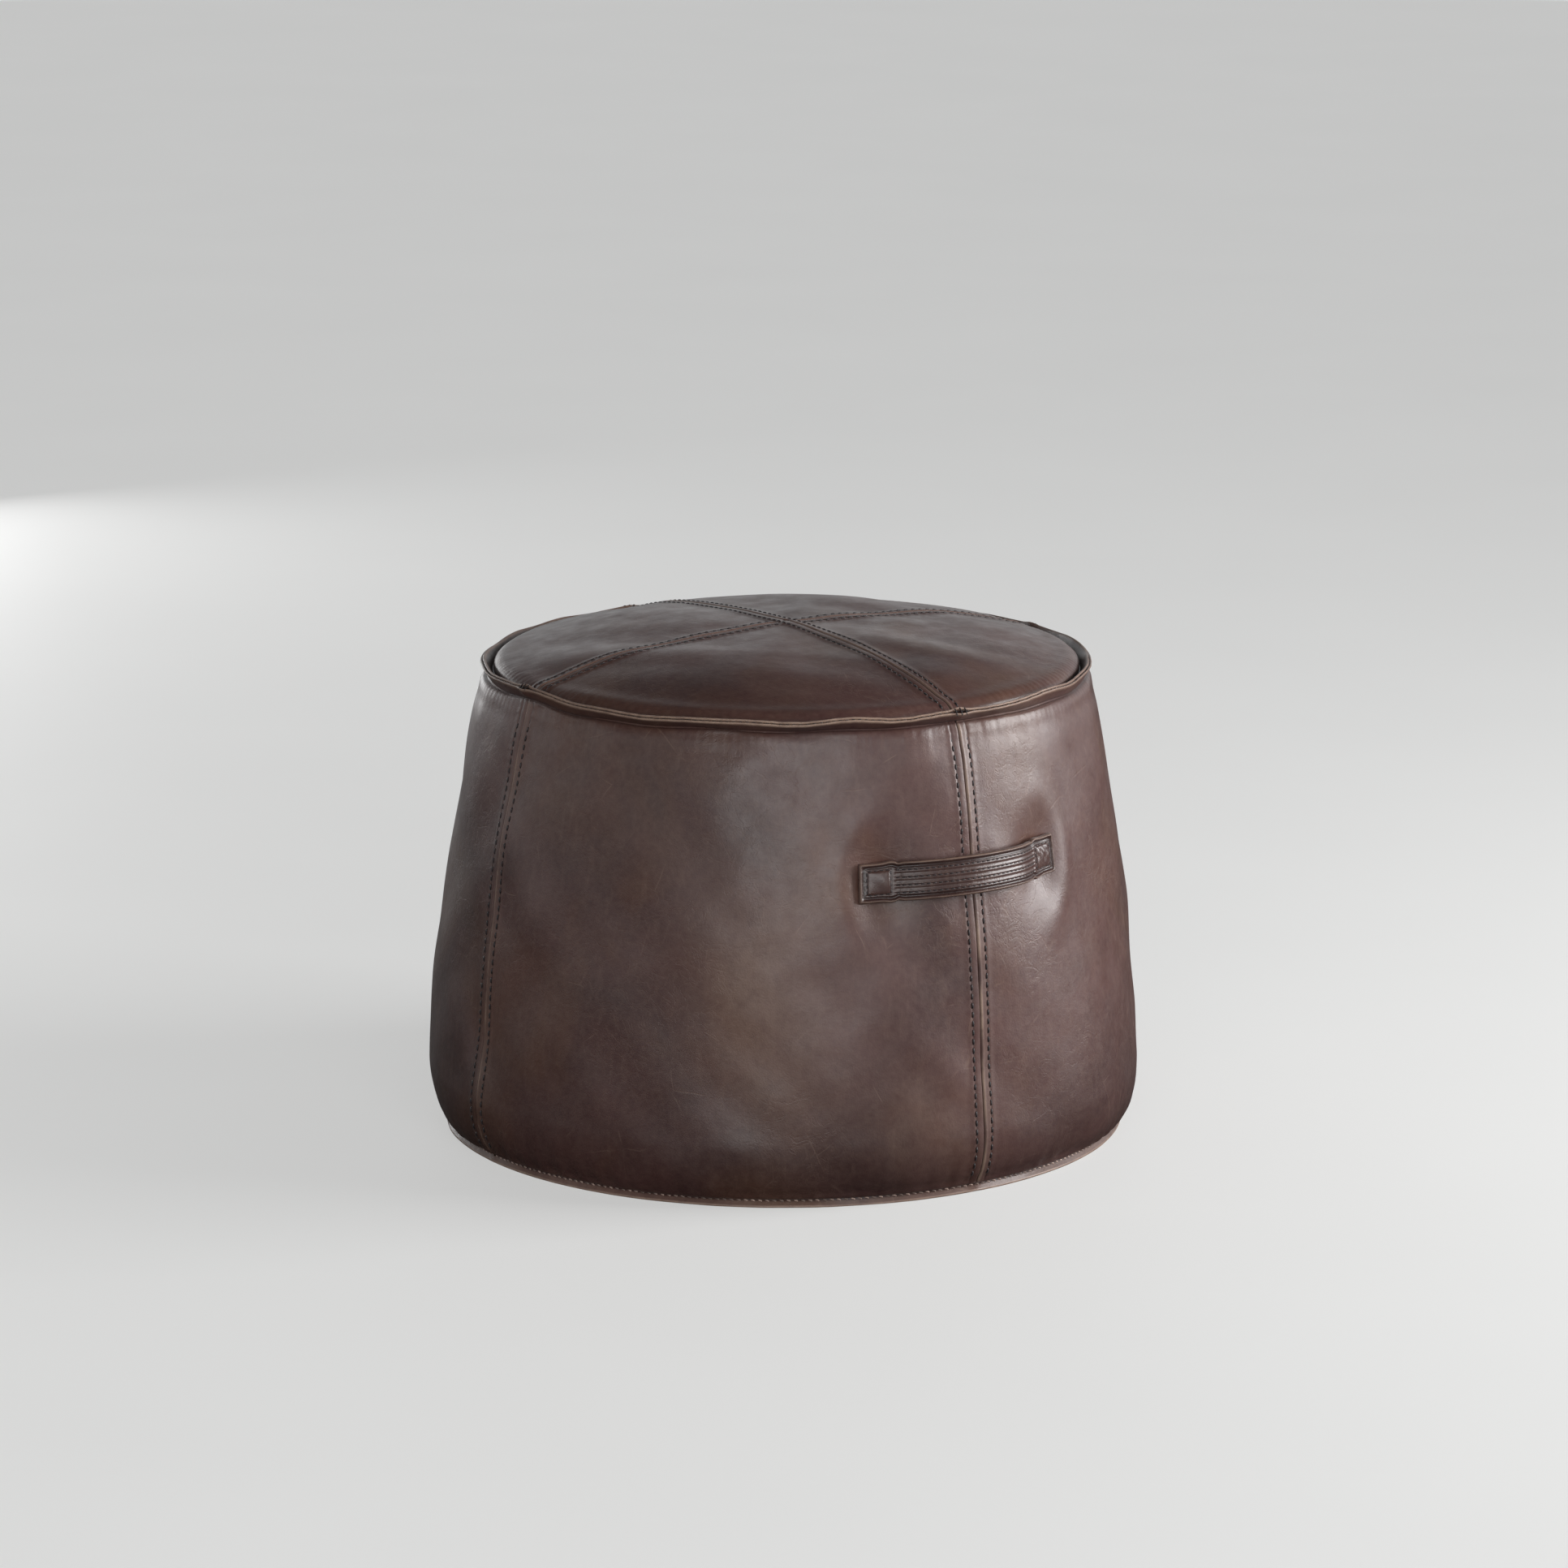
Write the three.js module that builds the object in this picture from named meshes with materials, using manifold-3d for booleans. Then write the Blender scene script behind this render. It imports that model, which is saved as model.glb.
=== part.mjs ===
// A round leather floor pouf filled with beads, in millimetres, +Z up.
// The origin is the middle of the ring that it stands on. The handle is at -Y, and the cover's
// four seams run down the wall at -Y, +X, +Y and -X, and cross on the top.
import * as THREE from "three";
import { mergeVertices } from "three/addons/utils/BufferGeometryUtils.js";
import Module from "manifold-3d";

const wasm = await Module();
wasm.setup();

// ---- driving dimensions ----
const SEGMENTS = 48; // flats round the cover
const INNER_SEGMENTS = 32; // flats round the liner and the filling
const QUARTER_TURN = Math.PI / 2;
const CLEARANCE = 0.3; // between pieces that touch on the real pouf
const LEATHER = 2.2; // thickness of a cover panel

// the wall: widest low down, leaning in as it rises, tucked under at the floor
const BELLY_RADIUS = 280;
const BELLY_HEIGHT = 48;
const BELLY_DROP = 42;
const BELLY_TUCK = 19;
const WALL_LEAN = 0.0627; // inward, per mm of height
const WALL_BOW = 0.000245; // inward, per mm of height squared
const CURL_START = 330; // height where the wall curls in to the top seam
const CURL_SPAN = 25;
const CURL_DEPTH = 5;
const WALL_HEIGHTS = [12, 20, 32, BELLY_HEIGHT, 90, 150, 210, 270, 320, 345];

// the domed top
const DOME_RADIUS = 230;
const DOME_FOOT = 360;
const DOME_RISE = 36;
const DOME_FULLNESS = 1.2; // 1 is a half ellipse, more is flatter at the rim
const DOME_STEPS = 8;
const DOME_LAST_ANGLE = THREE.MathUtils.degToRad(80);

// the standing edges, where two panels are sewn together with their edges outside
const TOP_SEAM = new THREE.Vector2(230.2, 357.2);
const TOP_EDGE_WAY = new THREE.Vector2(0.616, 0.788);
const TOP_EDGE_WIDTH = 11.5;
const FOOT_SEAM = new THREE.Vector2(259.6, 7.6);
const FOOT_EDGE_WAY = new THREE.Vector2(0.6, -0.8);
const FOOT_EDGE_WIDTH = 15; // cut off level at the floor
const BASE_HEIGHT = 8; // underside of the base leather

// the liner and the filling
const LINER = 1;
const LINER_INSET = 5.4; // from the cover's outer face to the liner's
const FILL_INSET = LINER_INSET + LINER + CLEARANCE;
const LINER_BASE_HEIGHT = 13.6;
const LINER_TOP_RADIUS = 216;
const LINER_SIDE_HEIGHTS = [18, 32, 60, 120, 190, 260, 320, 342];

// the handle: a strap of three layers sewn on at its two ends, across the -Y seam
const HANDLE_HEIGHT = 247;
const HANDLE_HALF_ANGLE = THREE.MathUtils.degToRad(20);
const HANDLE_FREE_ANGLE = THREE.MathUtils.degToRad(13.5); // each way, between the sewn ends
const HANDLE_STEPS = 16;
const STRAP_WIDTH = 30;
const STRAP_THICK = 1.6;
const CORE_WIDTH = 24;
const CORE_THICK = 0.8;
const LINING_WIDTH = 27;
const LINING_THICK = 1;
const FINGER_GAP = 9; // behind the lining, at the middle of the strap
const SEWN_GAP = 0.6; // behind the lining, at its sewn ends
const PATCH_WIDTH = 36;
const PATCH_THICK = 1.4;
const PATCH_INSET = LEATHER + 0.7 + PATCH_THICK;
const PATCH_MARGIN = THREE.MathUtils.degToRad(1);

// the zip across the base, along X
const ZIP_HALF_LENGTH = 150;
const ZIP_SLOT_HALF_LENGTH = 158;
const ZIP_SLOT_HALF_WIDTH = 7;
const TAPE_INNER = 1.6; // from the zip's middle line, which leaves room for the slider's wedge
const TAPE_OUTER = 16;
const TAPE_BOTTOM = BASE_HEIGHT + LEATHER + CLEARANCE;
const TAPE_THICK = 0.6;
const COIL_OUTER = 4.1;
const COIL_BOTTOM = 8.3;
const COIL_THICK = TAPE_BOTTOM - CLEARANCE - COIL_BOTTOM;
const STOP_LENGTH = 3;

// the zip's slider and its pull
const SLIDER_X = 138;
const SLIDER_LENGTH = 13;
const SLIDER_WIDTH = 9.4;
const SLIDER_PLATE = 1.3;
const SLIDER_OUTER_BOTTOM = COIL_BOTTOM - 0.4 - SLIDER_PLATE;
const SLIDER_INNER_BOTTOM = TAPE_BOTTOM + TAPE_THICK + 0.4;
const WEDGE_WIDTH = 2.2;
const WEDGE_LENGTH = 4;
const BRIDGE_LENGTH = 7.6;
const BRIDGE_WIDTH = 1.6;
const BRIDGE_BAR = 1;
const BRIDGE_DROP = 3.2; // from the slider's plate to the bar's underside
const PULL_THICK = 1.2;
const PULL_WIDTH = 7;
const PULL_LENGTH = 24;
const PULL_BAR = 1.2;
const PULL_EYE_LENGTH = 5.2;
const PULL_EYE_WIDTH = 3.4;
const PULL_HINGE_HEIGHT = SLIDER_OUTER_BOTTOM - 1.1;
const PULL_REST_ANGLE = THREE.MathUtils.degToRad(9); // it hangs until its end is by the floor

// ---- materials ----
const leatherBrown = material(0x55443f, 0.5);
const edgeBrown = material(0x8a6f60, 0.7);
const linerCloth = material(0xd9d4c8, 0.9);
const beadWhite = material(0xf2f2ee, 0.8);
const webbingBlack = material(0x2a2725, 0.9);
const tapeBrown = material(0x3b302b, 0.9);
const brass = material(0x9a7f4f, 0.35, 1);

function material(color, roughness, metalness = 0) {
  return new THREE.MeshStandardMaterial({ color, roughness, metalness });
}

function node(name, geometry, finish) {
  const mesh = new THREE.Mesh(geometry, finish);
  mesh.name = name;
  return mesh;
}

// ---- solids ----
function toSolid(geometry) {
  const bare = geometry.clone();
  bare.deleteAttribute("normal");
  bare.deleteAttribute("uv");
  const merged = mergeVertices(bare, 1e-3);
  return new wasm.Manifold(
    new wasm.Mesh({
      numProp: 3,
      vertProperties: new Float32Array(merged.attributes.position.array),
      triVerts: new Uint32Array(merged.index.array),
    }),
  );
}

function toGeometry(solid) {
  const mesh = solid.getMesh();
  const geometry = new THREE.BufferGeometry();
  geometry.setAttribute("position", new THREE.BufferAttribute(mesh.vertProperties, 3));
  geometry.setIndex(new THREE.BufferAttribute(mesh.triVerts, 1));
  geometry.computeVertexNormals();
  return geometry;
}

function boxBetween(x0, x1, y0, y1, z0, z1) {
  const block = new THREE.BoxGeometry(x1 - x0, y1 - y0, z1 - z0);
  return block.translate((x0 + x1) / 2, (y0 + y1) / 2, (z0 + z1) / 2);
}

// A profile of (radius, height) turned about +Z.
function turned(profile, segments) {
  const halfFlat = Math.PI / segments;
  return new THREE.LatheGeometry(profile, segments, halfFlat, Math.PI * 2).rotateX(QUARTER_TURN);
}

// A path moved sideways by a distance, to its left when that is positive, with mitred corners.
function offsetPath(path, distance) {
  const left = (a, b) => new THREE.Vector2(a.y - b.y, b.x - a.x).normalize();
  return path.map((point, i) => {
    const before = left(path[Math.max(i - 1, 0)], path[Math.max(i, 1)]);
    const last = path.length - 1;
    const after = left(path[Math.min(i, last - 1)], path[Math.min(i + 1, last)]);
    const mitre = before.clone().add(after);
    mitre.multiplyScalar(2 / mitre.lengthSq());
    return point.clone().addScaledVector(mitre, distance);
  });
}

// The closed profile of a sheet whose outer face follows the path, with the sheet on its left.
function sheetOnLeft(path, thick) {
  return closed([...path, ...offsetPath(path, thick).reverse()]);
}

function sheetOnRight(path, thick) {
  return closed([...offsetPath(path, -thick), ...[...path].reverse()]);
}

// Starts and ends on the axis where the sheet crosses it, and closes on itself elsewhere.
function closed(profile) {
  return profile[0].x === 0 ? profile : [...profile, profile[0].clone()];
}

// ---- the cover's outline ----
function wallRadius(height) {
  if (height < BELLY_HEIGHT) {
    const drop = (BELLY_HEIGHT - height) / BELLY_DROP;
    return BELLY_RADIUS - BELLY_TUCK * (1 - Math.sqrt(1 - drop * drop));
  }
  const rise = height - BELLY_HEIGHT;
  const curl = Math.max(0, height - CURL_START) / CURL_SPAN;
  return BELLY_RADIUS - WALL_LEAN * rise - WALL_BOW * rise * rise - CURL_DEPTH * curl * curl;
}

function domePath(radius, lastAngle) {
  return Array.from({ length: DOME_STEPS + 1 }, (_, i) => {
    const angle = (lastAngle * i) / DOME_STEPS;
    const height = DOME_FOOT + DOME_RISE * Math.cos(angle) ** DOME_FULLNESS;
    return new THREE.Vector2(radius * Math.sin(angle), height);
  });
}

// The two ends of one face of a standing edge, out from its seam by a distance.
function edgeFace(seam, way, width, out) {
  const across = new THREE.Vector2(Math.abs(way.y), way.y > 0 ? -way.x : way.x);
  const root = seam.clone().addScaledVector(across, out);
  return [root, root.clone().addScaledVector(way, width)];
}

const FACE_OUT = LEATHER + CLEARANCE / 2;

function sidePath() {
  const foot = edgeFace(FOOT_SEAM, FOOT_EDGE_WAY, FOOT_EDGE_WIDTH, FACE_OUT).reverse();
  const wall = WALL_HEIGHTS.map((z) => new THREE.Vector2(wallRadius(z), z));
  return [...foot, ...wall, ...edgeFace(TOP_SEAM, TOP_EDGE_WAY, TOP_EDGE_WIDTH, FACE_OUT)];
}

function topPath() {
  const edge = edgeFace(TOP_SEAM, TOP_EDGE_WAY, TOP_EDGE_WIDTH, -FACE_OUT);
  return [...domePath(DOME_RADIUS, DOME_LAST_ANGLE), ...edge];
}

function basePath() {
  const [root, tip] = edgeFace(FOOT_SEAM, FOOT_EDGE_WAY, FOOT_EDGE_WIDTH, -FACE_OUT);
  const bend = root.clone().addScaledVector(FOOT_EDGE_WAY, (BASE_HEIGHT - root.y) / FOOT_EDGE_WAY.y);
  return [new THREE.Vector2(0, BASE_HEIGHT), bend, tip];
}

// ---- the cover ----
const QUARTERS = ["front_right", "back_right", "back_left", "front_left"];
const REACH = 400;

function quarterSpace(index) {
  const half = CLEARANCE / 2;
  const space = boxBetween(half, REACH, -REACH, -half, 0, REACH);
  return toSolid(space.rotateZ(index * QUARTER_TURN));
}

function quarters(prefix, profile) {
  const ring = toSolid(turned(profile, SEGMENTS));
  return QUARTERS.map((place, index) => {
    const panel = ring.intersect(quarterSpace(index));
    return node(prefix + place, toGeometry(panel), leatherBrown);
  });
}

function basePanel(name, yLow, yHigh) {
  const disc = toSolid(turned(sheetOnLeft(basePath(), LEATHER), SEGMENTS));
  const half = toSolid(boxBetween(-REACH, REACH, yLow, yHigh, 0, REACH));
  const slot = boxBetween(
    -ZIP_SLOT_HALF_LENGTH,
    ZIP_SLOT_HALF_LENGTH,
    -ZIP_SLOT_HALF_WIDTH,
    ZIP_SLOT_HALF_WIDTH,
    0,
    REACH,
  );
  return node(name, toGeometry(disc.intersect(half).subtract(toSolid(slot))), edgeBrown);
}

function cover() {
  const group = new THREE.Group();
  group.add(...quarters("top_panel_", sheetOnRight(topPath(), LEATHER)));
  group.add(...quarters("side_panel_", sheetOnLeft(sidePath(), LEATHER)));
  group.add(basePanel("base_panel_front", -REACH, -CLEARANCE / 2));
  group.add(basePanel("base_panel_back", CLEARANCE / 2, REACH));
  return group;
}

// ---- the liner and the filling ----
function linerTopPath(inset) {
  const radius = LINER_TOP_RADIUS;
  return domePath(radius, DOME_LAST_ANGLE).map((p) => new THREE.Vector2(p.x, p.y - inset));
}

function linerSidePath(inset) {
  return LINER_SIDE_HEIGHTS.map((z) => new THREE.Vector2(wallRadius(z) - inset, z));
}

function linerBase() {
  const radius = wallRadius(LINER_SIDE_HEIGHTS[0]) - FILL_INSET;
  const profile = [
    new THREE.Vector2(0, LINER_BASE_HEIGHT),
    new THREE.Vector2(radius, LINER_BASE_HEIGHT),
    new THREE.Vector2(radius, LINER_BASE_HEIGHT + LINER),
    new THREE.Vector2(0, LINER_BASE_HEIGHT + LINER),
  ];
  return turned(profile, INNER_SEGMENTS);
}

function beadFill() {
  const floor = LINER_BASE_HEIGHT + LINER + CLEARANCE;
  const top = linerTopPath(FILL_INSET).reverse();
  return turned([new THREE.Vector2(0, floor), ...linerSidePath(FILL_INSET), ...top], INNER_SEGMENTS);
}

function inside() {
  const group = new THREE.Group();
  const top = turned(sheetOnRight(linerTopPath(LINER_INSET), LINER), INNER_SEGMENTS);
  const side = turned(sheetOnLeft(linerSidePath(LINER_INSET), LINER), INNER_SEGMENTS);
  group.add(node("liner_top", top, linerCloth));
  group.add(node("liner_side", side, linerCloth));
  group.add(node("liner_base", linerBase(), linerCloth));
  group.add(node("bead_fill", beadFill(), beadWhite));
  return group;
}

// ---- the handle ----
// How far the lining's inner face stands off the wall.
function standOff(angle) {
  const along = Math.min(1, Math.abs(angle) / HANDLE_FREE_ANGLE);
  return SEWN_GAP + (FINGER_GAP - SEWN_GAP) * (1 - along * along);
}

// A band round part of the wall at the handle's height, leaning with the wall.
function band(from, to, lift, thick, width) {
  const radius = wallRadius(HANDLE_HEIGHT);
  const lean = Math.atan(WALL_LEAN + 2 * WALL_BOW * (HANDLE_HEIGHT - BELLY_HEIGHT));
  const point = (i, extra) => {
    const angle = from + ((to - from) * i) / HANDLE_STEPS;
    const reach = radius + lift(angle) + extra;
    return new THREE.Vector2(reach * Math.sin(angle), radius - reach * Math.cos(angle));
  };
  const steps = Array.from({ length: HANDLE_STEPS + 1 }, (_, i) => i);
  const inner = steps.map((i) => point(i, 0));
  const outer = steps.map((i) => point(i, thick)).reverse();
  const plan = new THREE.Shape([...inner, ...outer]);
  const geometry = new THREE.ExtrudeGeometry(plan, { depth: width, bevelEnabled: false });
  geometry.translate(0, 0, -width / 2).rotateX(-lean);
  return geometry.translate(0, -radius, HANDLE_HEIGHT);
}

function strapLayer(name, below, thick, width, shorter, finish) {
  const half = HANDLE_HALF_ANGLE - THREE.MathUtils.degToRad(shorter);
  const lift = (angle) => standOff(angle) + below;
  return node(name, band(-half, half, lift, thick, width), finish);
}

function anchorPatch(name, side) {
  const middle = (side * (HANDLE_FREE_ANGLE + HANDLE_HALF_ANGLE)) / 2;
  const half = (HANDLE_HALF_ANGLE - HANDLE_FREE_ANGLE) / 2 + PATCH_MARGIN;
  const lift = () => -PATCH_INSET;
  return node(
    name,
    band(middle - half, middle + half, lift, PATCH_THICK, PATCH_WIDTH),
    webbingBlack,
  );
}

function handle() {
  const group = new THREE.Group();
  const coreBelow = LINING_THICK + CLEARANCE;
  const strapBelow = coreBelow + CORE_THICK + CLEARANCE;
  group.add(strapLayer("handle_lining", 0, LINING_THICK, LINING_WIDTH, 0.4, leatherBrown));
  group.add(strapLayer("handle_webbing", coreBelow, CORE_THICK, CORE_WIDTH, 0.8, webbingBlack));
  group.add(strapLayer("handle_strap", strapBelow, STRAP_THICK, STRAP_WIDTH, 0, leatherBrown));
  group.add(anchorPatch("anchor_patch_left", -1));
  group.add(anchorPatch("anchor_patch_right", 1));
  return group;
}

// ---- the zip ----
function zipSide(place, side) {
  const group = new THREE.Group();
  const half = ZIP_SLOT_HALF_LENGTH;
  const near = side * TAPE_INNER;
  const strip = (length, far, bottom, thick) =>
    boxBetween(-length, length, Math.min(near, far), Math.max(near, far), bottom, bottom + thick);
  const tape = strip(half, side * TAPE_OUTER, TAPE_BOTTOM, TAPE_THICK);
  const coil = strip(ZIP_HALF_LENGTH, side * COIL_OUTER, COIL_BOTTOM, COIL_THICK);
  group.add(node("zip_tape_" + place, tape, tapeBrown));
  group.add(node("zip_coil_" + place, coil, tapeBrown));
  const stopStart = ZIP_HALF_LENGTH + CLEARANCE;
  const low = Math.min(near, side * COIL_OUTER);
  const high = Math.max(near, side * COIL_OUTER);
  const top = TAPE_BOTTOM - CLEARANCE;
  const stop = boxBetween(stopStart, stopStart + STOP_LENGTH, low, high, COIL_BOTTOM, top);
  group.add(node("zip_top_stop_" + place, stop, brass));
  return group;
}

function bottomStop() {
  const end = -ZIP_HALF_LENGTH - CLEARANCE;
  const top = TAPE_BOTTOM - CLEARANCE;
  const clip = boxBetween(end - STOP_LENGTH, end, -COIL_OUTER, COIL_OUTER, COIL_BOTTOM, top);
  return node("zip_bottom_stop", clip, brass);
}

// A slider plate: a rounded oblong that narrows towards its closed end, at -X.
function sliderPlate(bottom) {
  const half = SLIDER_LENGTH / 2;
  const wide = SLIDER_WIDTH / 2;
  const narrow = wide - 1.2;
  const corner = 1.5;
  const plan = new THREE.Shape();
  plan.moveTo(-half + corner, -narrow);
  plan.lineTo(half - corner, -wide);
  plan.quadraticCurveTo(half, -wide, half, -wide + corner);
  plan.lineTo(half, wide - corner);
  plan.quadraticCurveTo(half, wide, half - corner, wide);
  plan.lineTo(-half + corner, narrow);
  plan.quadraticCurveTo(-half, narrow, -half, narrow - corner);
  plan.lineTo(-half, -narrow + corner);
  plan.quadraticCurveTo(-half, -narrow, -half + corner, -narrow);
  const options = { depth: SLIDER_PLATE, bevelEnabled: false, curveSegments: 4 };
  return toSolid(new THREE.ExtrudeGeometry(plan, options).translate(0, 0, bottom));
}

function slider() {
  const sink = SLIDER_PLATE / 2;
  const centred = (length, width, z0, z1, x = 0) =>
    toSolid(boxBetween(x - length / 2, x + length / 2, -width / 2, width / 2, z0, z1));
  const plateTop = SLIDER_OUTER_BOTTOM + SLIDER_PLATE;
  const wedgeX = SLIDER_LENGTH / 2 - WEDGE_LENGTH;
  const barBottom = SLIDER_OUTER_BOTTOM - BRIDGE_DROP;
  const postX = (BRIDGE_LENGTH - BRIDGE_BAR) / 2;
  let solid = sliderPlate(SLIDER_OUTER_BOTTOM).add(sliderPlate(SLIDER_INNER_BOTTOM));
  const wedge = [plateTop - sink, SLIDER_INNER_BOTTOM + sink];
  solid = solid.add(centred(WEDGE_LENGTH, WEDGE_WIDTH, ...wedge, wedgeX));
  solid = solid.add(centred(BRIDGE_LENGTH, BRIDGE_WIDTH, barBottom, barBottom + BRIDGE_BAR));
  for (const side of [-1, 1]) {
    const heights = [barBottom + BRIDGE_BAR / 2, SLIDER_OUTER_BOTTOM + sink];
    solid = solid.add(centred(BRIDGE_BAR, BRIDGE_WIDTH, ...heights, side * postX));
  }
  return node("zip_slider", toGeometry(solid), brass);
}

// The pull lies along -X from its hinge, tipped down towards the floor.
function pull() {
  const half = PULL_WIDTH / 2;
  const bar = PULL_BAR / 2;
  const plan = new THREE.Shape();
  plan.moveTo(bar, -half + 1);
  plan.lineTo(bar, half - 1);
  plan.lineTo(-1, half);
  plan.lineTo(half - PULL_LENGTH, half);
  plan.absarc(half - PULL_LENGTH, 0, half, QUARTER_TURN, 3 * QUARTER_TURN, false);
  plan.lineTo(-1, -half);
  const eye = new THREE.Path();
  const eyeHalf = PULL_EYE_WIDTH / 2;
  eye.moveTo(-bar, -eyeHalf);
  eye.lineTo(-bar, eyeHalf);
  eye.lineTo(-bar - PULL_EYE_LENGTH, eyeHalf);
  eye.lineTo(-bar - PULL_EYE_LENGTH, -eyeHalf);
  plan.holes.push(eye);
  const options = { depth: PULL_THICK, bevelEnabled: false, curveSegments: 6 };
  const geometry = new THREE.ExtrudeGeometry(plan, options).translate(0, 0, -PULL_THICK / 2);
  const mesh = node("zip_pull", geometry, brass);
  mesh.rotation.y = -PULL_REST_ANGLE;
  mesh.position.z = PULL_HINGE_HEIGHT;
  return mesh;
}

function zip() {
  const group = new THREE.Group();
  group.add(zipSide("front", -1), zipSide("back", 1), bottomStop());
  const moving = new THREE.Group();
  moving.add(slider(), pull());
  moving.position.x = SLIDER_X;
  group.add(moving);
  return group;
}

const pouf = new THREE.Group();
pouf.add(cover(), inside(), handle(), zip());

export default pouf;
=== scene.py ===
"""A round leather floor pouf filled with beads: its sewn cover, carry handle, liner, filling and zip.

Lengths in the shape functions are in millimetres, and each mesh is made in metres.
The handle is towards -Y. Angles go round from -Y towards +X.
"""

import math

import bmesh
import bpy
import numpy as np
from bpy.props import FloatProperty, FloatVectorProperty, PointerProperty
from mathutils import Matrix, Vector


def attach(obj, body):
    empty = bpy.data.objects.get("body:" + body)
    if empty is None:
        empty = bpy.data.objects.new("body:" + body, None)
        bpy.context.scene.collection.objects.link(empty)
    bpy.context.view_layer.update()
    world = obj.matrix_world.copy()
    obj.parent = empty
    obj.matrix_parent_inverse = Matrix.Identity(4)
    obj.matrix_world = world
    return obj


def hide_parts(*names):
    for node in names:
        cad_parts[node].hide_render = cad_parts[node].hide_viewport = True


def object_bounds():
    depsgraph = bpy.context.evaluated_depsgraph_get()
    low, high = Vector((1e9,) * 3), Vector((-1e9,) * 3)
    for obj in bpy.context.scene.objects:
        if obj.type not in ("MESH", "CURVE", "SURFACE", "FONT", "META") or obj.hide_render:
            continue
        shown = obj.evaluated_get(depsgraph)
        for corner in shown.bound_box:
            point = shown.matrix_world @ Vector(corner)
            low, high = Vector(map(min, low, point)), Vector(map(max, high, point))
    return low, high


bl_info = {
    "name": "Round leather pouf",
    "version": (1, 0, 0),
    "blender": (4, 5, 0),
    "location": "3D View > Sidebar > Pouf",
    "description": "Makes the visible pieces of a round leather pouf on its packed frame",
    "category": "Object",
}

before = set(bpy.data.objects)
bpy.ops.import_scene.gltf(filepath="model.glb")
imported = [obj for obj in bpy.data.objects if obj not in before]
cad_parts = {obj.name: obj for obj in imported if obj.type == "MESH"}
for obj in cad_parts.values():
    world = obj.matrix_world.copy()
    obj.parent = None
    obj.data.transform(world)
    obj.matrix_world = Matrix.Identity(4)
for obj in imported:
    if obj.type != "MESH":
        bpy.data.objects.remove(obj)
FRAME_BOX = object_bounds()

MM = 0.001
QUARTER = math.pi / 2
PLACES = ("front_right", "back_right", "back_left", "front_left")

# the wall: widest low down, leaning in as it rises, tucked under at the floor
BELLY_RADIUS, BELLY_HEIGHT, BELLY_DROP, BELLY_TUCK = 280.0, 48.0, 42.0, 19.0
WALL_LEAN, WALL_BOW = 0.0627, 0.000245
CURL_START, CURL_SPAN, CURL_DEPTH = 330.0, 25.0, 5.0
WALL_TOP = 352.0

# the domed top
DOME_RADIUS, DOME_FOOT, DOME_RISE, DOME_FULLNESS = 230.0, 360.0, 36.0, 1.2

# the standing edges, where two panels are sewn together with their edges outside
TOP_SEAM, TOP_EDGE = np.array([230.2, 357.2]), 11.5
FOOT_SEAM, FOOT_TILT = np.array([262.0, 4.4]), math.atan2(0.6, 0.8)
FACE_OUT = 2.35  # from the middle of the seam to a ply's outer face
RIM_STOPS = (0.0, 0.1, 0.25, 0.5, 0.8, 1.0)  # shares of the way up the standing rim
RIM_THINNED = 0.45  # how much thinner the leather is pressed at the rim's tip
KNOT = 6.5  # half width of the thick place where a seam meets a standing edge
BASE_HEIGHT = 8.0

# the top leans a little to one side, because the beads have settled
LEAN, LEAN_WAY = 2.3, np.array([0.84, -0.54, 0])

# the handle
HANDLE_HEIGHT, HANDLE_HALF, HANDLE_FREE, HANDLE_SHIFT = 247.0, 90.0, 60.7, -3.0
HANDLE_HOLLOW, HOLLOW_DEPTH = 73.0, 7.0  # from the handle's middle, and into the wall
FINGER_GAP, SEWN_GAP = 9.0, 0.6
BOX_MIDDLE, BOX_HALF = 75.0, 9.0
STRAP_ROWS = (-8.6, -2.9, 2.9, 8.6)

# the zip across the base
SLOT_HALF_LENGTH, SLOT_HALF_WIDTH = 158.0, 7.0
ZIP_HALF_LENGTH, TOOTH_PITCH = 150.0, 1.5

# the open place in the floor under the pouf, and how far the floor goes
FLOOR_HOLE, FLOOR_EDGE, FLOOR_SIDES = 252.0, 9000.0, 96


def linear(colour):
    """The linear red, green, blue and alpha of an sRGB hex value."""
    parts = [(colour >> shift & 255) / 255 for shift in (16, 8, 0)]
    return [c / 12.92 if c <= 0.04045 else ((c + 0.055) / 1.055) ** 2.4 for c in parts] + [1.0]


def colour_property(name, description, colour):
    return FloatVectorProperty(
        name=name, description=description, subtype="COLOR", size=4, min=0, max=1, default=linear(colour)
    )


def number_property(name, description, default, least=0.0, unit="NONE"):
    return FloatProperty(name=name, description=description, unit=unit, default=default, min=least)


def length_property(name, description, default):
    return number_property(name, description, default, 0.0001, "LENGTH")


class PoufSizes(bpy.types.PropertyGroup):
    """Sizes of the leather, seams and thread."""

    leather: length_property("Leather", "Thickness of the cover's leather", 0.0022)
    seam_row: length_property("Seam row", "From the middle of a seam to each of its two stitch rows", 0.007)
    stitch_pitch: length_property("Stitch pitch", "From one stitch to the next", 0.007)
    stitch: length_property("Stitch", "Length of one stitch", 0.0052)
    thread: length_property("Thread", "Thickness of the thread", 0.0011)
    strap: length_property("Strap", "Width of the handle's strap", 0.030)


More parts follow.
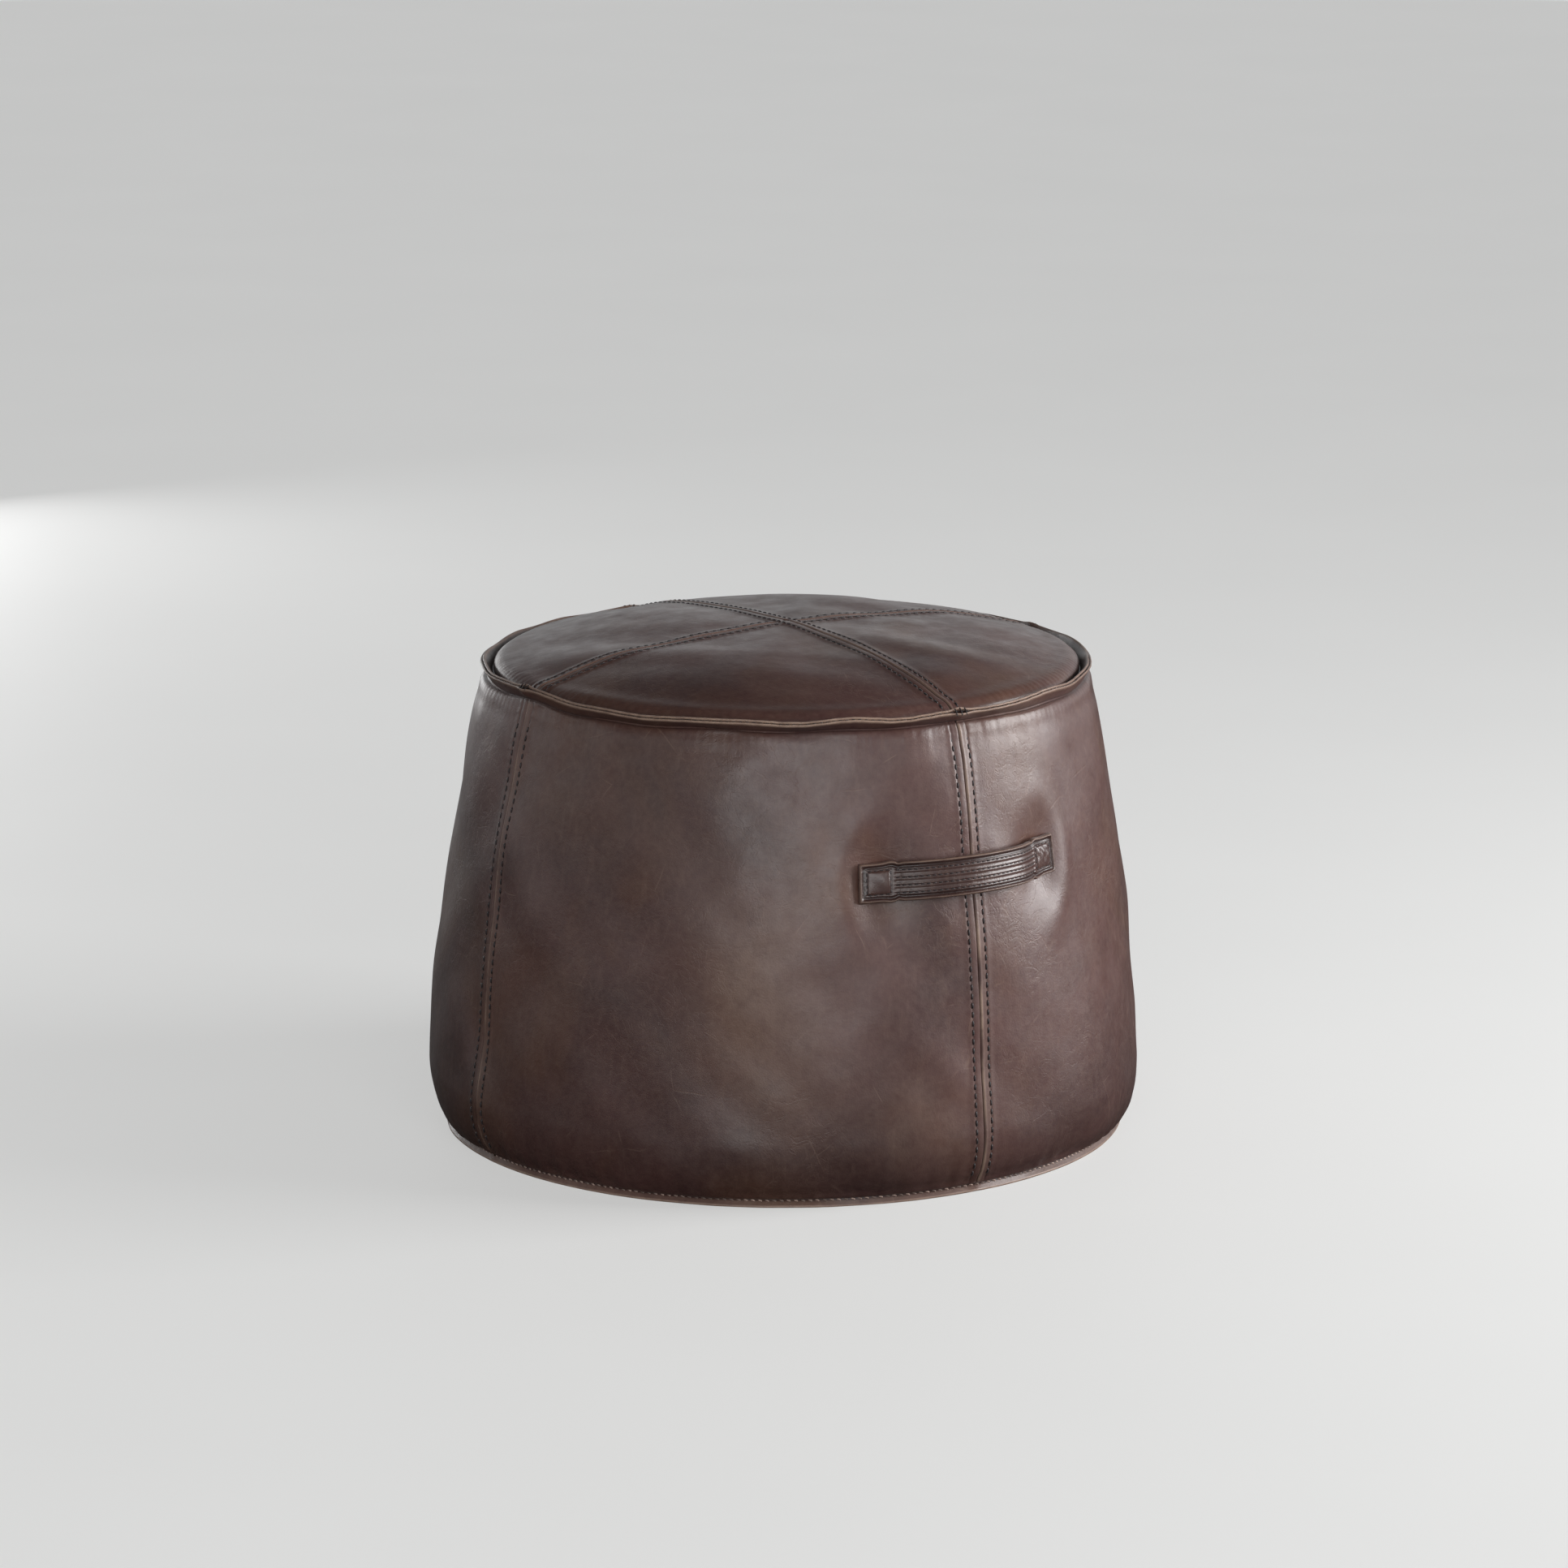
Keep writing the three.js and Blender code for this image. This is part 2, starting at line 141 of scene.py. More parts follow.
class PoufColours(bpy.types.PropertyGroup):
    """Colours of the leather, thread, cloth and metal."""

    leather: colour_property("Leather", "Main colour of the cover", 0x563936)
    # Also used, darkened further, for the painted shade in seams, folds and gutters.
    leather_dark: colour_property("Dark leather", "Where the oil has gathered", 0x392222)
    leather_warm: colour_property("Warm leather", "Where the hide is lighter and tanner", 0x664633)
    # Also the colour of the painted highlights on the wall and on the strap's rolled edges.
    leather_worn: colour_property("Worn leather", "Bare edges and rubbed folds", 0xA58B7A)
    base: colour_property("Base leather", "The leather on the floor", 0x3E302B)
    thread: colour_property("Thread", "Sewing thread", 0x1A0F11)
    thread_rubbed: colour_property("Rubbed thread", "Thread along the floor edge", 0x8C776D)
    liner: colour_property("Liner", "Cotton of the inner bag", 0xD9D4C8)
    beads: colour_property("Beads", "Polystyrene filling", 0xF2F2EE)
    webbing: colour_property("Webbing", "Core of the handle", 0x2A2725)
    tape: colour_property("Zip tape", "Woven tape of the zip", 0x3B302B)
    coil: colour_property("Zip coil", "Nylon teeth of the zip", 0x2E2522)
    metal: colour_property("Zip metal", "Slider, pull and stops", 0x9A7F4F)


class PoufStage(bpy.types.PropertyGroup):
    """The floor, the lights and the camera's lens."""

    floor: colour_property("Floor", "Plain pale floor", 0xD4D4D3)
    surround: colour_property("Surround", "Plain pale background", 0xD6D8D9)
    side_light: number_property("Side light", "Power of the light on the right", 71.0)
    front_light: number_property("Front light", "Power of the light on the left", 35.0)
    edge_card: number_property("Edge card", "Power of the card behind", 8.0)
    ambient: number_property("Ambient", "Strength of the light from all round", 1.16)
    lens: number_property("Lens", "Focal length", 139.75, 1.0, "CAMERA")


# ---- shapes of the cover ----


def ripples(seed, count, turns, lengths):
    """A smooth random relief of about -1 to 1 over the angle and the height, the same on every run."""
    chance = np.random.default_rng(seed)
    round_it = chance.integers(turns[0], turns[1] + 1, count)
    up_it = 2 * math.pi / chance.uniform(*lengths, count) * chance.choice([-1, 1], count)
    phase = chance.uniform(0, 2 * math.pi, count)

    def relief(angle, height):
        total = 0.0
        for n, m, p in zip(round_it, up_it, phase):
            total = total + np.cos(n * angle + m * height + p)
        return total / math.sqrt(count)

    return relief


broad_lumps = ripples(7, 9, (2, 9), (170, 420))
small_lumps = ripples(19, 14, (9, 26), (60, 150))
rim_gathers = ripples(31, 12, (70, 112), (300, 900))
rim_sway = ripples(43, 9, (6, 26), (900, 2000))
cloth_creases = ripples(57, 16, (8, 40), (25, 110))


def bell(distance, width):
    return np.exp(-((distance / width) ** 2))


def step(value, low, high):
    """0 below low, 1 above high, and smooth between."""
    share = np.clip((value - low) / (high - low), 0, 1)
    return share * share * (3 - 2 * share)


def wrapped(angle):
    return (angle + math.pi) % (2 * math.pi) - math.pi


def from_seam(angle):
    """The signed angle from the nearest of the four seams."""
    return (angle + QUARTER / 2) % QUARTER - QUARTER / 2


def turned(angle, radius, height):
    return np.stack(np.broadcast_arrays(radius * np.sin(angle), -radius * np.cos(angle), height), -1)


def wall_radius(height):
    drop = np.clip((BELLY_HEIGHT - height) / BELLY_DROP, 0, 1)
    tucked = BELLY_RADIUS - BELLY_TUCK * (1 - np.sqrt(1 - drop**2))
    rise = np.maximum(0, height - BELLY_HEIGHT)
    curl = np.maximum(0, height - CURL_START) / CURL_SPAN
    leaning = BELLY_RADIUS - WALL_LEAN * rise - WALL_BOW * rise**2 - CURL_DEPTH * curl**2
    return np.where(height < BELLY_HEIGHT, tucked, leaning)


def dome_height(radius):
    fall = np.sqrt(np.clip(1 - (radius / DOME_RADIUS) ** 2, 0, 1))
    return DOME_FOOT + DOME_RISE * fall**DOME_FULLNESS


def seam_relief(distance, right):
    """A sewn seam: two folded plies that meet in a crease, held down by a stitch row on each side."""
    plies = 0.55 * (1 - step(distance, 7.4, 13))
    puff = 0.22 * np.sin(math.pi * np.clip(distance / 7, 0, 1))
    shaded_crease = -0.9 * bell(distance, 0.7)
    lip = 0.5 * bell(distance - 1.3, 0.9) * right
    row = -0.4 * bell(distance - 7, 1.0)
    pulled_in = -1.1 * bell(distance, 34)
    return plies + puff + shaded_crease + lip + row + pulled_in


def handle_pull(angle, height):
    """The hollows that the handle's sewn ends pull into the wall, with the leather swollen round them."""
    along = wrapped(angle) * wall_radius(HANDLE_HEIGHT)
    rise = height - HANDLE_HEIGHT
    relief = 0.0
    for side in (-1, 1):
        off = along - side * HANDLE_HOLLOW - HANDLE_SHIFT
        away = off * side
        hollow = -HOLLOW_DEPTH * np.exp(-0.5 * ((off / np.where(away > 0, 13, 20)) ** 2 + (rise / 24) ** 2))
        ring = np.hypot(off / 30, rise / 46)
        relief = relief + hollow + 1.5 * bell(ring - 1.05, 0.33) * (0.55 + 0.45 * np.tanh(away / 9))
    return relief


def soft_shape(angle, height):
    """How far the filled bag stands out from a plain turned shape."""
    slack = 0.06 + 0.2 * bell(wrapped(angle + 0.5), 0.5)
    lumps = 1.15 * broad_lumps(angle, height) + 0.5 * small_lumps(angle, height)
    return lumps + slack * cloth_creases(angle, height) + handle_pull(angle, height)


def wall_relief(angle, height):
    """How far the wall's leather stands out from a plain turned shape."""
    turn = from_seam(angle)
    distance = np.abs(turn) * wall_radius(height)
    seam = seam_relief(distance, turn > 0)
    seam = seam + 0.22 * np.cos(height * 2 * math.pi / 7) * bell(distance - 9.5, 3.5)
    below = np.maximum(0, WALL_TOP - height)
    round_rim = angle * TOP_SEAM[0]
    puckers = 0.11 * np.cos(round_rim * 2 * math.pi / 6.4 + 1.5 * rim_sway(angle, 0)) * np.exp(-below / 6)
    near_seam = 0.16 + 0.75 * bell(wrapped(angle - 0.1), 0.12) + 0.3 * bell(wrapped(angle + 0.3), 0.3)
    gathers = 0.42 * rim_gathers(angle, height) * near_seam * np.exp(-below / 12)
    foot = 0.5 * rim_gathers(angle + 1, height) * np.exp(-np.maximum(0, height - 10) / 12)
    return soft_shape(angle, height) + seam + puckers + gathers + foot


def top_relief(x, y):
    """How far the top's leather stands out from a plain dome. The seam along Y lies over the other."""
    under = step(np.abs(x), 7.5, 10.5)
    seam = seam_relief(np.abs(x), x > 0) + seam_relief(np.abs(y), y > 0) * under
    radius, angle = np.hypot(x, y), np.arctan2(x, -y)
    lumps = 0.9 * broad_lumps(x / 200, y) + 0.45 * small_lumps(x / 260 + 2, y)
    fuller = 2.1 * bell(radius - 220, 9)
    puckers = 0.12 * np.cos(angle * TOP_SEAM[0] * 2 * math.pi / 7) * np.exp(-np.maximum(0, 222 - radius) / 6)
    return seam + lumps * step(DOME_RADIUS - radius, 4, 60) + puckers + fuller


def painted_highlights(angle, height):
    """Painted highlights on the wall's leather, as paler colour: a diagonal band at the front, a patch low
    down and one by the handle's end.
    """
    across = wrapped(angle + 0.64) * 250 + 0.2 * (height - 150)
    middle = 0.28 * bell(np.hypot(across / 42, (height - 150) / 85), 1)
    low = 0.13 * bell(np.hypot((wrapped(angle + 0.22) * 250) / 30, (height - 62) / 40), 1)
    by_handle = 0.12 * bell(np.hypot((wrapped(angle) * 250 + 118) / 26, (height - 262) / 34), 1)
    return middle + low + by_handle


def on_wall(angle, height, lift=0.0):
    """Points on the wall's leather, and the way out from it."""
    slope = (wall_radius(height + 1) - wall_radius(height - 1)) / 2
    out, up = 1 / np.hypot(1, slope), -slope / np.hypot(1, slope)
    away = wall_relief(angle, height) + lift
    return turned(angle, wall_radius(height) + away * out, height + away * up), turned(angle, out, up)


def on_top(x, y, lift=0.0):
    """Points on the top's leather, and the way out from it."""
    radius, angle = np.hypot(x, y), np.arctan2(x, -y)
    slope = (dome_height(radius + 1) - dome_height(np.maximum(0, radius - 1))) / 2
    out, up = -slope / np.hypot(1, slope), 1 / np.hypot(1, slope)
    away = top_relief(x, y) + lift
    return turned(angle, radius + away * out, dome_height(radius) + away * up), turned(angle, out, up)


# ---- outlines, as (columns, points, 2) arrays of radius and height ----


def rounded(paths, passes=2):
    """The paths with their corners cut."""
    for _ in range(passes):
        start, end = paths[:, :-1], paths[:, 1:]
        cut = np.stack([0.75 * start + 0.25 * end, 0.25 * start + 0.75 * end], 2)
        paths = np.concatenate([paths[:, :1], cut.reshape(len(paths), -1, 2), paths[:, -1:]], 1)
    return paths


def measured(paths):
    """The distance along each path to each of its points."""
    lengths = np.linalg.norm(np.diff(paths, axis=1), axis=2)
    return np.concatenate([np.zeros((len(paths), 1)), np.cumsum(lengths, 1)], 1)


def resampled(paths, corners, shares):
    """Points along each path, spaced in each stretch between corners as shares says, and their distances."""
    along = measured(paths)
    smooth = rounded(paths)
    smooth_along = measured(smooth)
    marks = along[:, [0, *corners, -1]] * (smooth_along[:, -1] / along[:, -1])[:, None]
    stretches = zip(marks.T, marks.T[1:], shares)
    stops = np.concatenate(
        [begin[:, None] + (end - begin)[:, None] * share for begin, end, share in stretches], 1
    )
    points = np.empty(stops.shape + (2,))
    for path, lengths, stop, point in zip(smooth, smooth_along, stops, points):
        point[:, 0] = np.interp(stop, lengths, path[:, 0])
        point[:, 1] = np.interp(stop, lengths, path[:, 1])
    return points, stops, marks


def facing(points, side):
    """Unit vectors out of the sheet, to the path's right for side 1 and to its left for side -1."""
    ahead = np.gradient(points, axis=1)
    ahead /= np.linalg.norm(ahead, axis=2, keepdims=True)
    return side * np.stack([ahead[..., 1], -ahead[..., 0]], -1)


def edge_ways(tilt, down):
    """The way along a standing edge and the way across it to its outer ply."""
    tilt = np.atleast_1d(tilt)
    sign = -1 if down else 1
    along = np.stack([np.sin(tilt), sign * np.cos(tilt)], -1)
    across = np.stack([np.cos(tilt), -sign * np.sin(tilt)], -1)
    return along, across


def rim_front(angle):
    return bell(wrapped(angle + math.radians(33)), math.radians(52))


def rim_tilt(angle):
    """How far the standing rim leans out: it falls over furthest at the front."""
    return np.radians(31 + 26 * rim_front(angle) + 3.0 * rim_sway(angle, 0))


def rim_seam(angle):
    """Where the wall and the top are sewn together: higher where the rim falls over, and at one knot."""
    angle = np.atleast_1d(angle)
    height = TOP_SEAM[1] + 3.2 * rim_front(angle) + 3.5 * bell(wrapped(angle + QUARTER), 0.16)
    height = height + 0.45 * rim_sway(angle + 2, 0)
    return np.stack([TOP_SEAM[0] + 0 * angle, height], -1)


def rim_shift(angle):
    """How far the rim's tip strays outwards as it goes round."""
    return 0.6 * rim_sway(angle + 1, 0) + 0.10 * rim_gathers(angle, 0)


def rim_width(angle):
    """How wide the standing rim is: wider at its knots, and pulled lower at the back."""
    knot = bell(from_seam(angle) * TOP_SEAM[0], 7)
    back = bell(wrapped(angle - math.radians(147)), 0.8)
    return TOP_EDGE - 0.4 + 0.35 * rim_sway(angle + 2, 0) + 0.8 * knot * (1 - back) - 1.6 * back


# ---- meshes ----


def leaned(points):
    """The points moved over as the pouf leans, and none of them below the floor."""
    away = LEAN * step(points[:, 2], 110, 370)[:, None]
    leant = points + away * LEAN_WAY
    leant[:, 2] = np.maximum(leant[:, 2], 0.0)
    return leant


def new_piece(name, points, faces, ends, material, marks=None):
    """A closed mesh object from points in mm, four-sided faces and end faces."""
    mesh = bpy.data.meshes.new(name)
    mesh.vertices.add(len(points))
    mesh.vertices.foreach_set("co", (leaned(points) * MM).astype(np.float32).ravel())
    corners = np.concatenate([faces.ravel(), *ends]).astype(np.int32)
    sizes = np.array([faces.shape[1]] * len(faces) + [len(end) for end in ends])
    mesh.loops.add(len(corners))
    mesh.loops.foreach_set("vertex_index", corners)
    mesh.polygons.add(len(sizes))
    mesh.polygons.foreach_set("loop_start", np.concatenate([[0], np.cumsum(sizes)[:-1]]).astype(np.int32))
    mesh.update(calc_edges=True)
    for mark, values in (marks or {}).items():
        layer = mesh.attributes.new(mark, "FLOAT", "POINT")
        layer.data.foreach_set("value", np.clip(values, 0, 1).astype(np.float32).ravel())
    work = bmesh.new()
    work.from_mesh(mesh)
    bmesh.ops.recalc_face_normals(work, faces=work.faces)
    for face in work.faces:
        face.smooth = True
    work.to_mesh(mesh)
    work.free()
    mesh.materials.append(material)
    piece = bpy.data.objects.new(name, mesh)
    bpy.context.scene.collection.objects.link(piece)
    return piece


def bridged(near, far):
    """Four-sided faces from each closed loop of point numbers to the next one."""
    return np.stack([near, far, np.roll(far, -1, -1), np.roll(near, -1, -1)], -1).reshape(-1, 4)


def loft(name, loops, material, marks=None, ring=False):
    """A closed skin over neighbouring closed loops of points."""
    columns, rows = loops.shape[:2]
    index = np.arange(columns * rows).reshape(columns, rows)
    near, far = (index, np.roll(index, -1, 0)) if ring else (index[:-1], index[1:])
    ends = [] if ring else [index[0], index[-1][::-1]]
    return new_piece(name, loops.reshape(-1, 3), bridged(near, far), ends, material, marks)


def tubes(name, loops, material):
    """Many short closed tubes as one piece, from their loops of points."""
    index = np.arange(loops[..., 0].size).reshape(loops.shape[:3])
    caps = list(index[:, 0]) + list(index[:, -1])
    return new_piece(name, loops.reshape(-1, 3), bridged(index[:, :-1], index[:, 1:]), caps, material)


def settle(piece, slot, *nodes, body="cover", fill=None):
    """Hides the frame nodes that a piece stands for and gives the piece its body. The slot is not used."""
    if nodes:
        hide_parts(*nodes)
    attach(piece, body)
    return piece


def edge_round(share, least):
    """How full a rounded edge stands, at a share of the way in from its tip."""
    return np.sqrt(1 - (1 - np.clip(share, least, 1)) ** 2)


def ply(points, facing_out, stops, total, relief, leather, back_rows, thinned=0.0):
    """The loops of a leather sheet with rounded edges: its outer face, then its inner face back again."""
    half = (leather - thinned) / 2 + 0 * stops
    from_edge = np.minimum(stops, total[:, None] - stops)
    tucked = half * (1 - edge_round(from_edge / half, 0.03))
    outer = points + facing_out * (relief - thinned - tucked)[..., None]
    inner = points + facing_out * (relief - leather + tucked)[..., None]
    return np.concatenate([outer, inner[:, back_rows][:, ::-1]], 1)


def with_back(values, back_rows):
    """Values for the outer face, followed by those for the inner face."""
    return np.concatenate([values, values[:, back_rows][:, ::-1]], 1)


def inner_rows(count, close, stride):
    """The rows that an inner face keeps: all of them near both ends, and fewer between."""
    return np.r_[0:close, close : count - 12 : stride, count - 12 : count]


def panel_piece(name, angle, loops, wear, dark, back_rows, material):
    """A leather panel's closed mesh, marked with its wear and painted highlights, and with the shade painted
    into its creases and folds.
    """
    marks = {"wear_and_highlight": with_back(wear, back_rows), "shaded_crease": with_back(dark, back_rows)}
    skin = turned(with_back(angle, back_rows), loops[..., 0], loops[..., 1])
    return loft(name, skin, material, marks)


NEAR_SEAM = np.array(
    [0.12, 0.35, 0.7, 1.1, 1.6, 2.2, 3, 4, 5, 5.7, 6.2, 6.6, 7, 7.4, 7.8, 8.4, 9.2, 10.2, 11.5, 13, 15, 18]
)


def panel_angles(start, radius):
    """The angle of each point of a quarter panel: fixed distances beside its seams, even steps between."""
    near = len(NEAR_SEAM)
    squeeze = np.minimum(1, radius / 60) / radius
    left = NEAR_SEAM[:, None] * squeeze[:near]
    right = QUARTER - NEAR_SEAM[::-1, None] * squeeze[-near:]
    share = np.linspace(0, 1, len(radius) - 2 * near + 2)[1:-1, None]
    margin = NEAR_SEAM[-1] * squeeze[near:-near]
    return start + np.concatenate([left, margin + (QUARTER - 2 * margin) * share, right])


def even(count):
    return np.linspace(0, 1, count, endpoint=False)


def crowded(count, first=True, last=True):
    """Shares from 0 up to 1 that crowd together at their first or last end."""
    share = np.linspace(0, 1, count, endpoint=False)
    if first and last:
        return (1 - np.cos(math.pi * share)) / 2
    return 1 - np.cos(QUARTER * share) if first else np.sin(QUARTER * share)


def rim_path(root, way, width):
    """The last stretch of an outline, up a standing edge from its seam."""
    return [root + way * (width * s)[:, None] for s in RIM_STOPS]


def rim_wear(angle, on_rim):
    """The rubbed tip of the standing rim, palest at the front."""
    return (0.4 + 0.5 * rim_front(angle)) * step(on_rim, 0.72, 0.95)


def seam_shade(distance):
    """Painted shade in a seam's crease and along its two stitch rows."""
    return 0.7 * bell(distance, 0.55) + 0.22 * bell(distance - 7, 1.0)


def side_panel(place, start, sizes, material):
    """A quarter of the wall, from the floor edge's outer ply up to the standing rim's outer ply."""
    columns = 176 + 2 * len(NEAR_SEAM)
    column_angle = panel_angles(start, np.full((columns, 1), 250.0))
    width = rim_width(column_angle[:, 0])
    foot_way, foot_across = edge_ways(np.full(columns, FOOT_TILT), True)
    rim_way, rim_across = edge_ways(rim_tilt(column_angle[:, 0]), False)

    foot_root = FOOT_SEAM + FACE_OUT * foot_across
    foot_length = (foot_root[:, 1] - 0.75) / math.cos(FOOT_TILT)
    foot = [foot_root + foot_way * (foot_length * s)[:, None] for s in (1, 0.5, 0.22, 0.1, 0.0)]
    under = [foot_root + np.array(move) for move in ((1.2, 0.1), (3.0, 0.7), (4.6, 1.8))]
    low, high = [12.2, 14, 16.5, 20, 25, 31, 38], [343, 347, 350, 352.5]
    heights = np.concatenate([low, np.arange(48, 342, 6.0), high])
    radii = [float(wall_radius(np.array(z)) + 2.6 * bell(z - 353, 7)) for z in heights]
    wall = [np.tile(row, (columns, 1)) for row in zip(radii, heights)]
    rim_root = rim_seam(column_angle[:, 0]) + FACE_OUT * rim_across
    rim = rim_path(rim_root, rim_way, width)
    cheek = [rim_root + np.array(move) for move in ((3.4, -1.6), (1.4, -0.3))]
    path = np.stack(foot + under + wall + cheek + rim, 1)
    root_at = len(foot) - 1
    rim_at = path.shape[1] - len(rim)

    shares = [crowded(14), crowded(118) * 0.55 + even(118) * 0.45, np.append(crowded(15), 1.0)]
    points, stops, marks = resampled(path, (root_at, rim_at), shares)
    out = facing(points, 1)
    angle = panel_angles(start, points[..., 0])
    distance = np.abs(from_seam(angle)) * points[..., 0]
    on_rim = np.clip((stops - marks[:, 2, None]) / width[:, None], 0, 1)
    on_foot = np.clip(1 - stops / marks[:, 1, None], 0, 1)

    wall_share = step(stops, marks[:, 1, None], marks[:, 1, None] + 9)
    wall_share = wall_share * (1 - step(stops, marks[:, 2, None] - 4, marks[:, 2, None]))
    knot = bell(distance, KNOT)
    relief = wall_relief(angle, points[..., 1]) * wall_share
    relief = relief + on_rim**1.5 * (0.2 + rim_shift(angle)) + knot * step(on_rim, 0.05, 0.5) * 1.5
    relief = relief + on_foot * (0.6 * rim_sway(angle + 3, 0) + 1.0 * knot)
    back_rows = inner_rows(points.shape[1], 10, 7)
    thin = RIM_THINNED * on_rim
    loops = ply(points, out, stops, marks[:, -1], relief, sizes.leather / MM, back_rows, thin)

    right = from_seam(angle) > 0
    fold = bell(distance - 0.95, 0.75) * np.where(right, 1.0, 0.12)
    fold = fold * (0.55 + 0.45 * small_lumps(angle, stops * 2))
    wear = fold * wall_share + rim_wear(angle, on_rim)
    wear = wear + 0.18 * step(on_foot, 0.05, 0.35) + 0.5 * step(on_foot, 0.75, 0.9)
    # The wall's wear marks also carry painted highlights: a pale band on the front, a patch low down and one
    # by the handle's end.
    wear = wear + 0.16 * knot * wall_share * right + painted_highlights(angle, points[..., 1]) * wall_share
    # Painted shade: in the seams and stitch rows, in the folds where the wall meets the floor edge and the
    # rim, and darker towards the bottom of the wall.
    dark = seam_shade(distance) * wall_share
    dark = dark + bell(stops - marks[:, 1, None], 1.6) + bell(stops - marks[:, 2, None], 2.4)
    dark = dark + 0.42 * (1 - step(points[..., 1], 12, 105)) * wall_share
    return panel_piece("side_panel_soft_" + place, angle, loops, wear, dark, back_rows, material)


def top_panel(place, start, sizes, material):
    """A quarter of the dome, from its middle out to the standing rim's inner ply."""
    columns = 150 + 2 * len(NEAR_SEAM)
    column_angle = panel_angles(start, np.full((columns, 1), 230.0))
    width = rim_width(column_angle[:, 0])
    rim_way, rim_across = edge_ways(rim_tilt(column_angle[:, 0]), False)
    radii = np.concatenate([[0.5, 3], np.arange(8, 216, 6.0), [218, 221, 223.5, 225.6, 227]])
    dome = [np.tile([r, float(dome_height(np.array(r)))], (columns, 1)) for r in radii]
    root = rim_seam(column_angle[:, 0]) - FACE_OUT * rim_across
    rim = rim_path(root, rim_way, width)
    path = np.stack(dome + rim, 1)
    rim_at = path.shape[1] - len(rim)

    shares = [crowded(78, False, True) * 0.4 + even(78) * 0.6, np.append(crowded(14), 1.0)]
    points, stops, marks = resampled(path, (rim_at,), shares)
    out = facing(points, -1)
    angle = panel_angles(start, points[..., 0])
    x, y = points[..., 0] * np.sin(angle), -points[..., 0] * np.cos(angle)
    distance = np.abs(from_seam(angle)) * points[..., 0]
    on_rim = np.clip((stops - marks[:, 1, None]) / width[:, None], 0, 1)
    on_dome = 1 - step(stops, marks[:, 1, None] - 5, marks[:, 1, None])
    knot = bell(distance, KNOT)
    relief = top_relief(x, y) * on_dome
    relief = relief + on_rim**1.5 * (0.2 - rim_shift(angle)) + knot * step(on_rim, 0.05, 0.5) * 1.3
    back_rows = inner_rows(points.shape[1], 5, 6)
    thin = RIM_THINNED * on_rim
    loops = ply(points, out, stops, marks[:, -1], relief, sizes.leather / MM, back_rows, thin)

    under = step(np.abs(x), 7.5, 10.5)
    fold = bell(np.abs(x) - 0.95, 0.75) * np.where(x > 0, 0.5, 0.1)
    fold = fold + bell(np.abs(y) - 0.95, 0.75) * np.where(y > 0, 0.22, 0.06) * under
    wear = fold * on_dome + rim_wear(angle, on_rim)
    # Painted shade: in the seams and stitch rows, in the fold where the dome meets the rim, and over the rim's
    # inner face.
    dark = seam_shade(np.abs(x))
    dark = dark + (0.6 * bell(np.abs(y), 0.55) + 0.2 * bell(np.abs(y) - 7, 1.0)) * under
    dark = dark * on_dome + 0.75 * bell(stops - marks[:, 1, None], 2.2)
    dark = dark + 0.6 * step(on_rim, 0.0, 0.2) * (1 - step(on_rim, 0.7, 0.85))
    return panel_piece("top_panel_soft_" + place, angle, loops, wear, dark, back_rows, material)


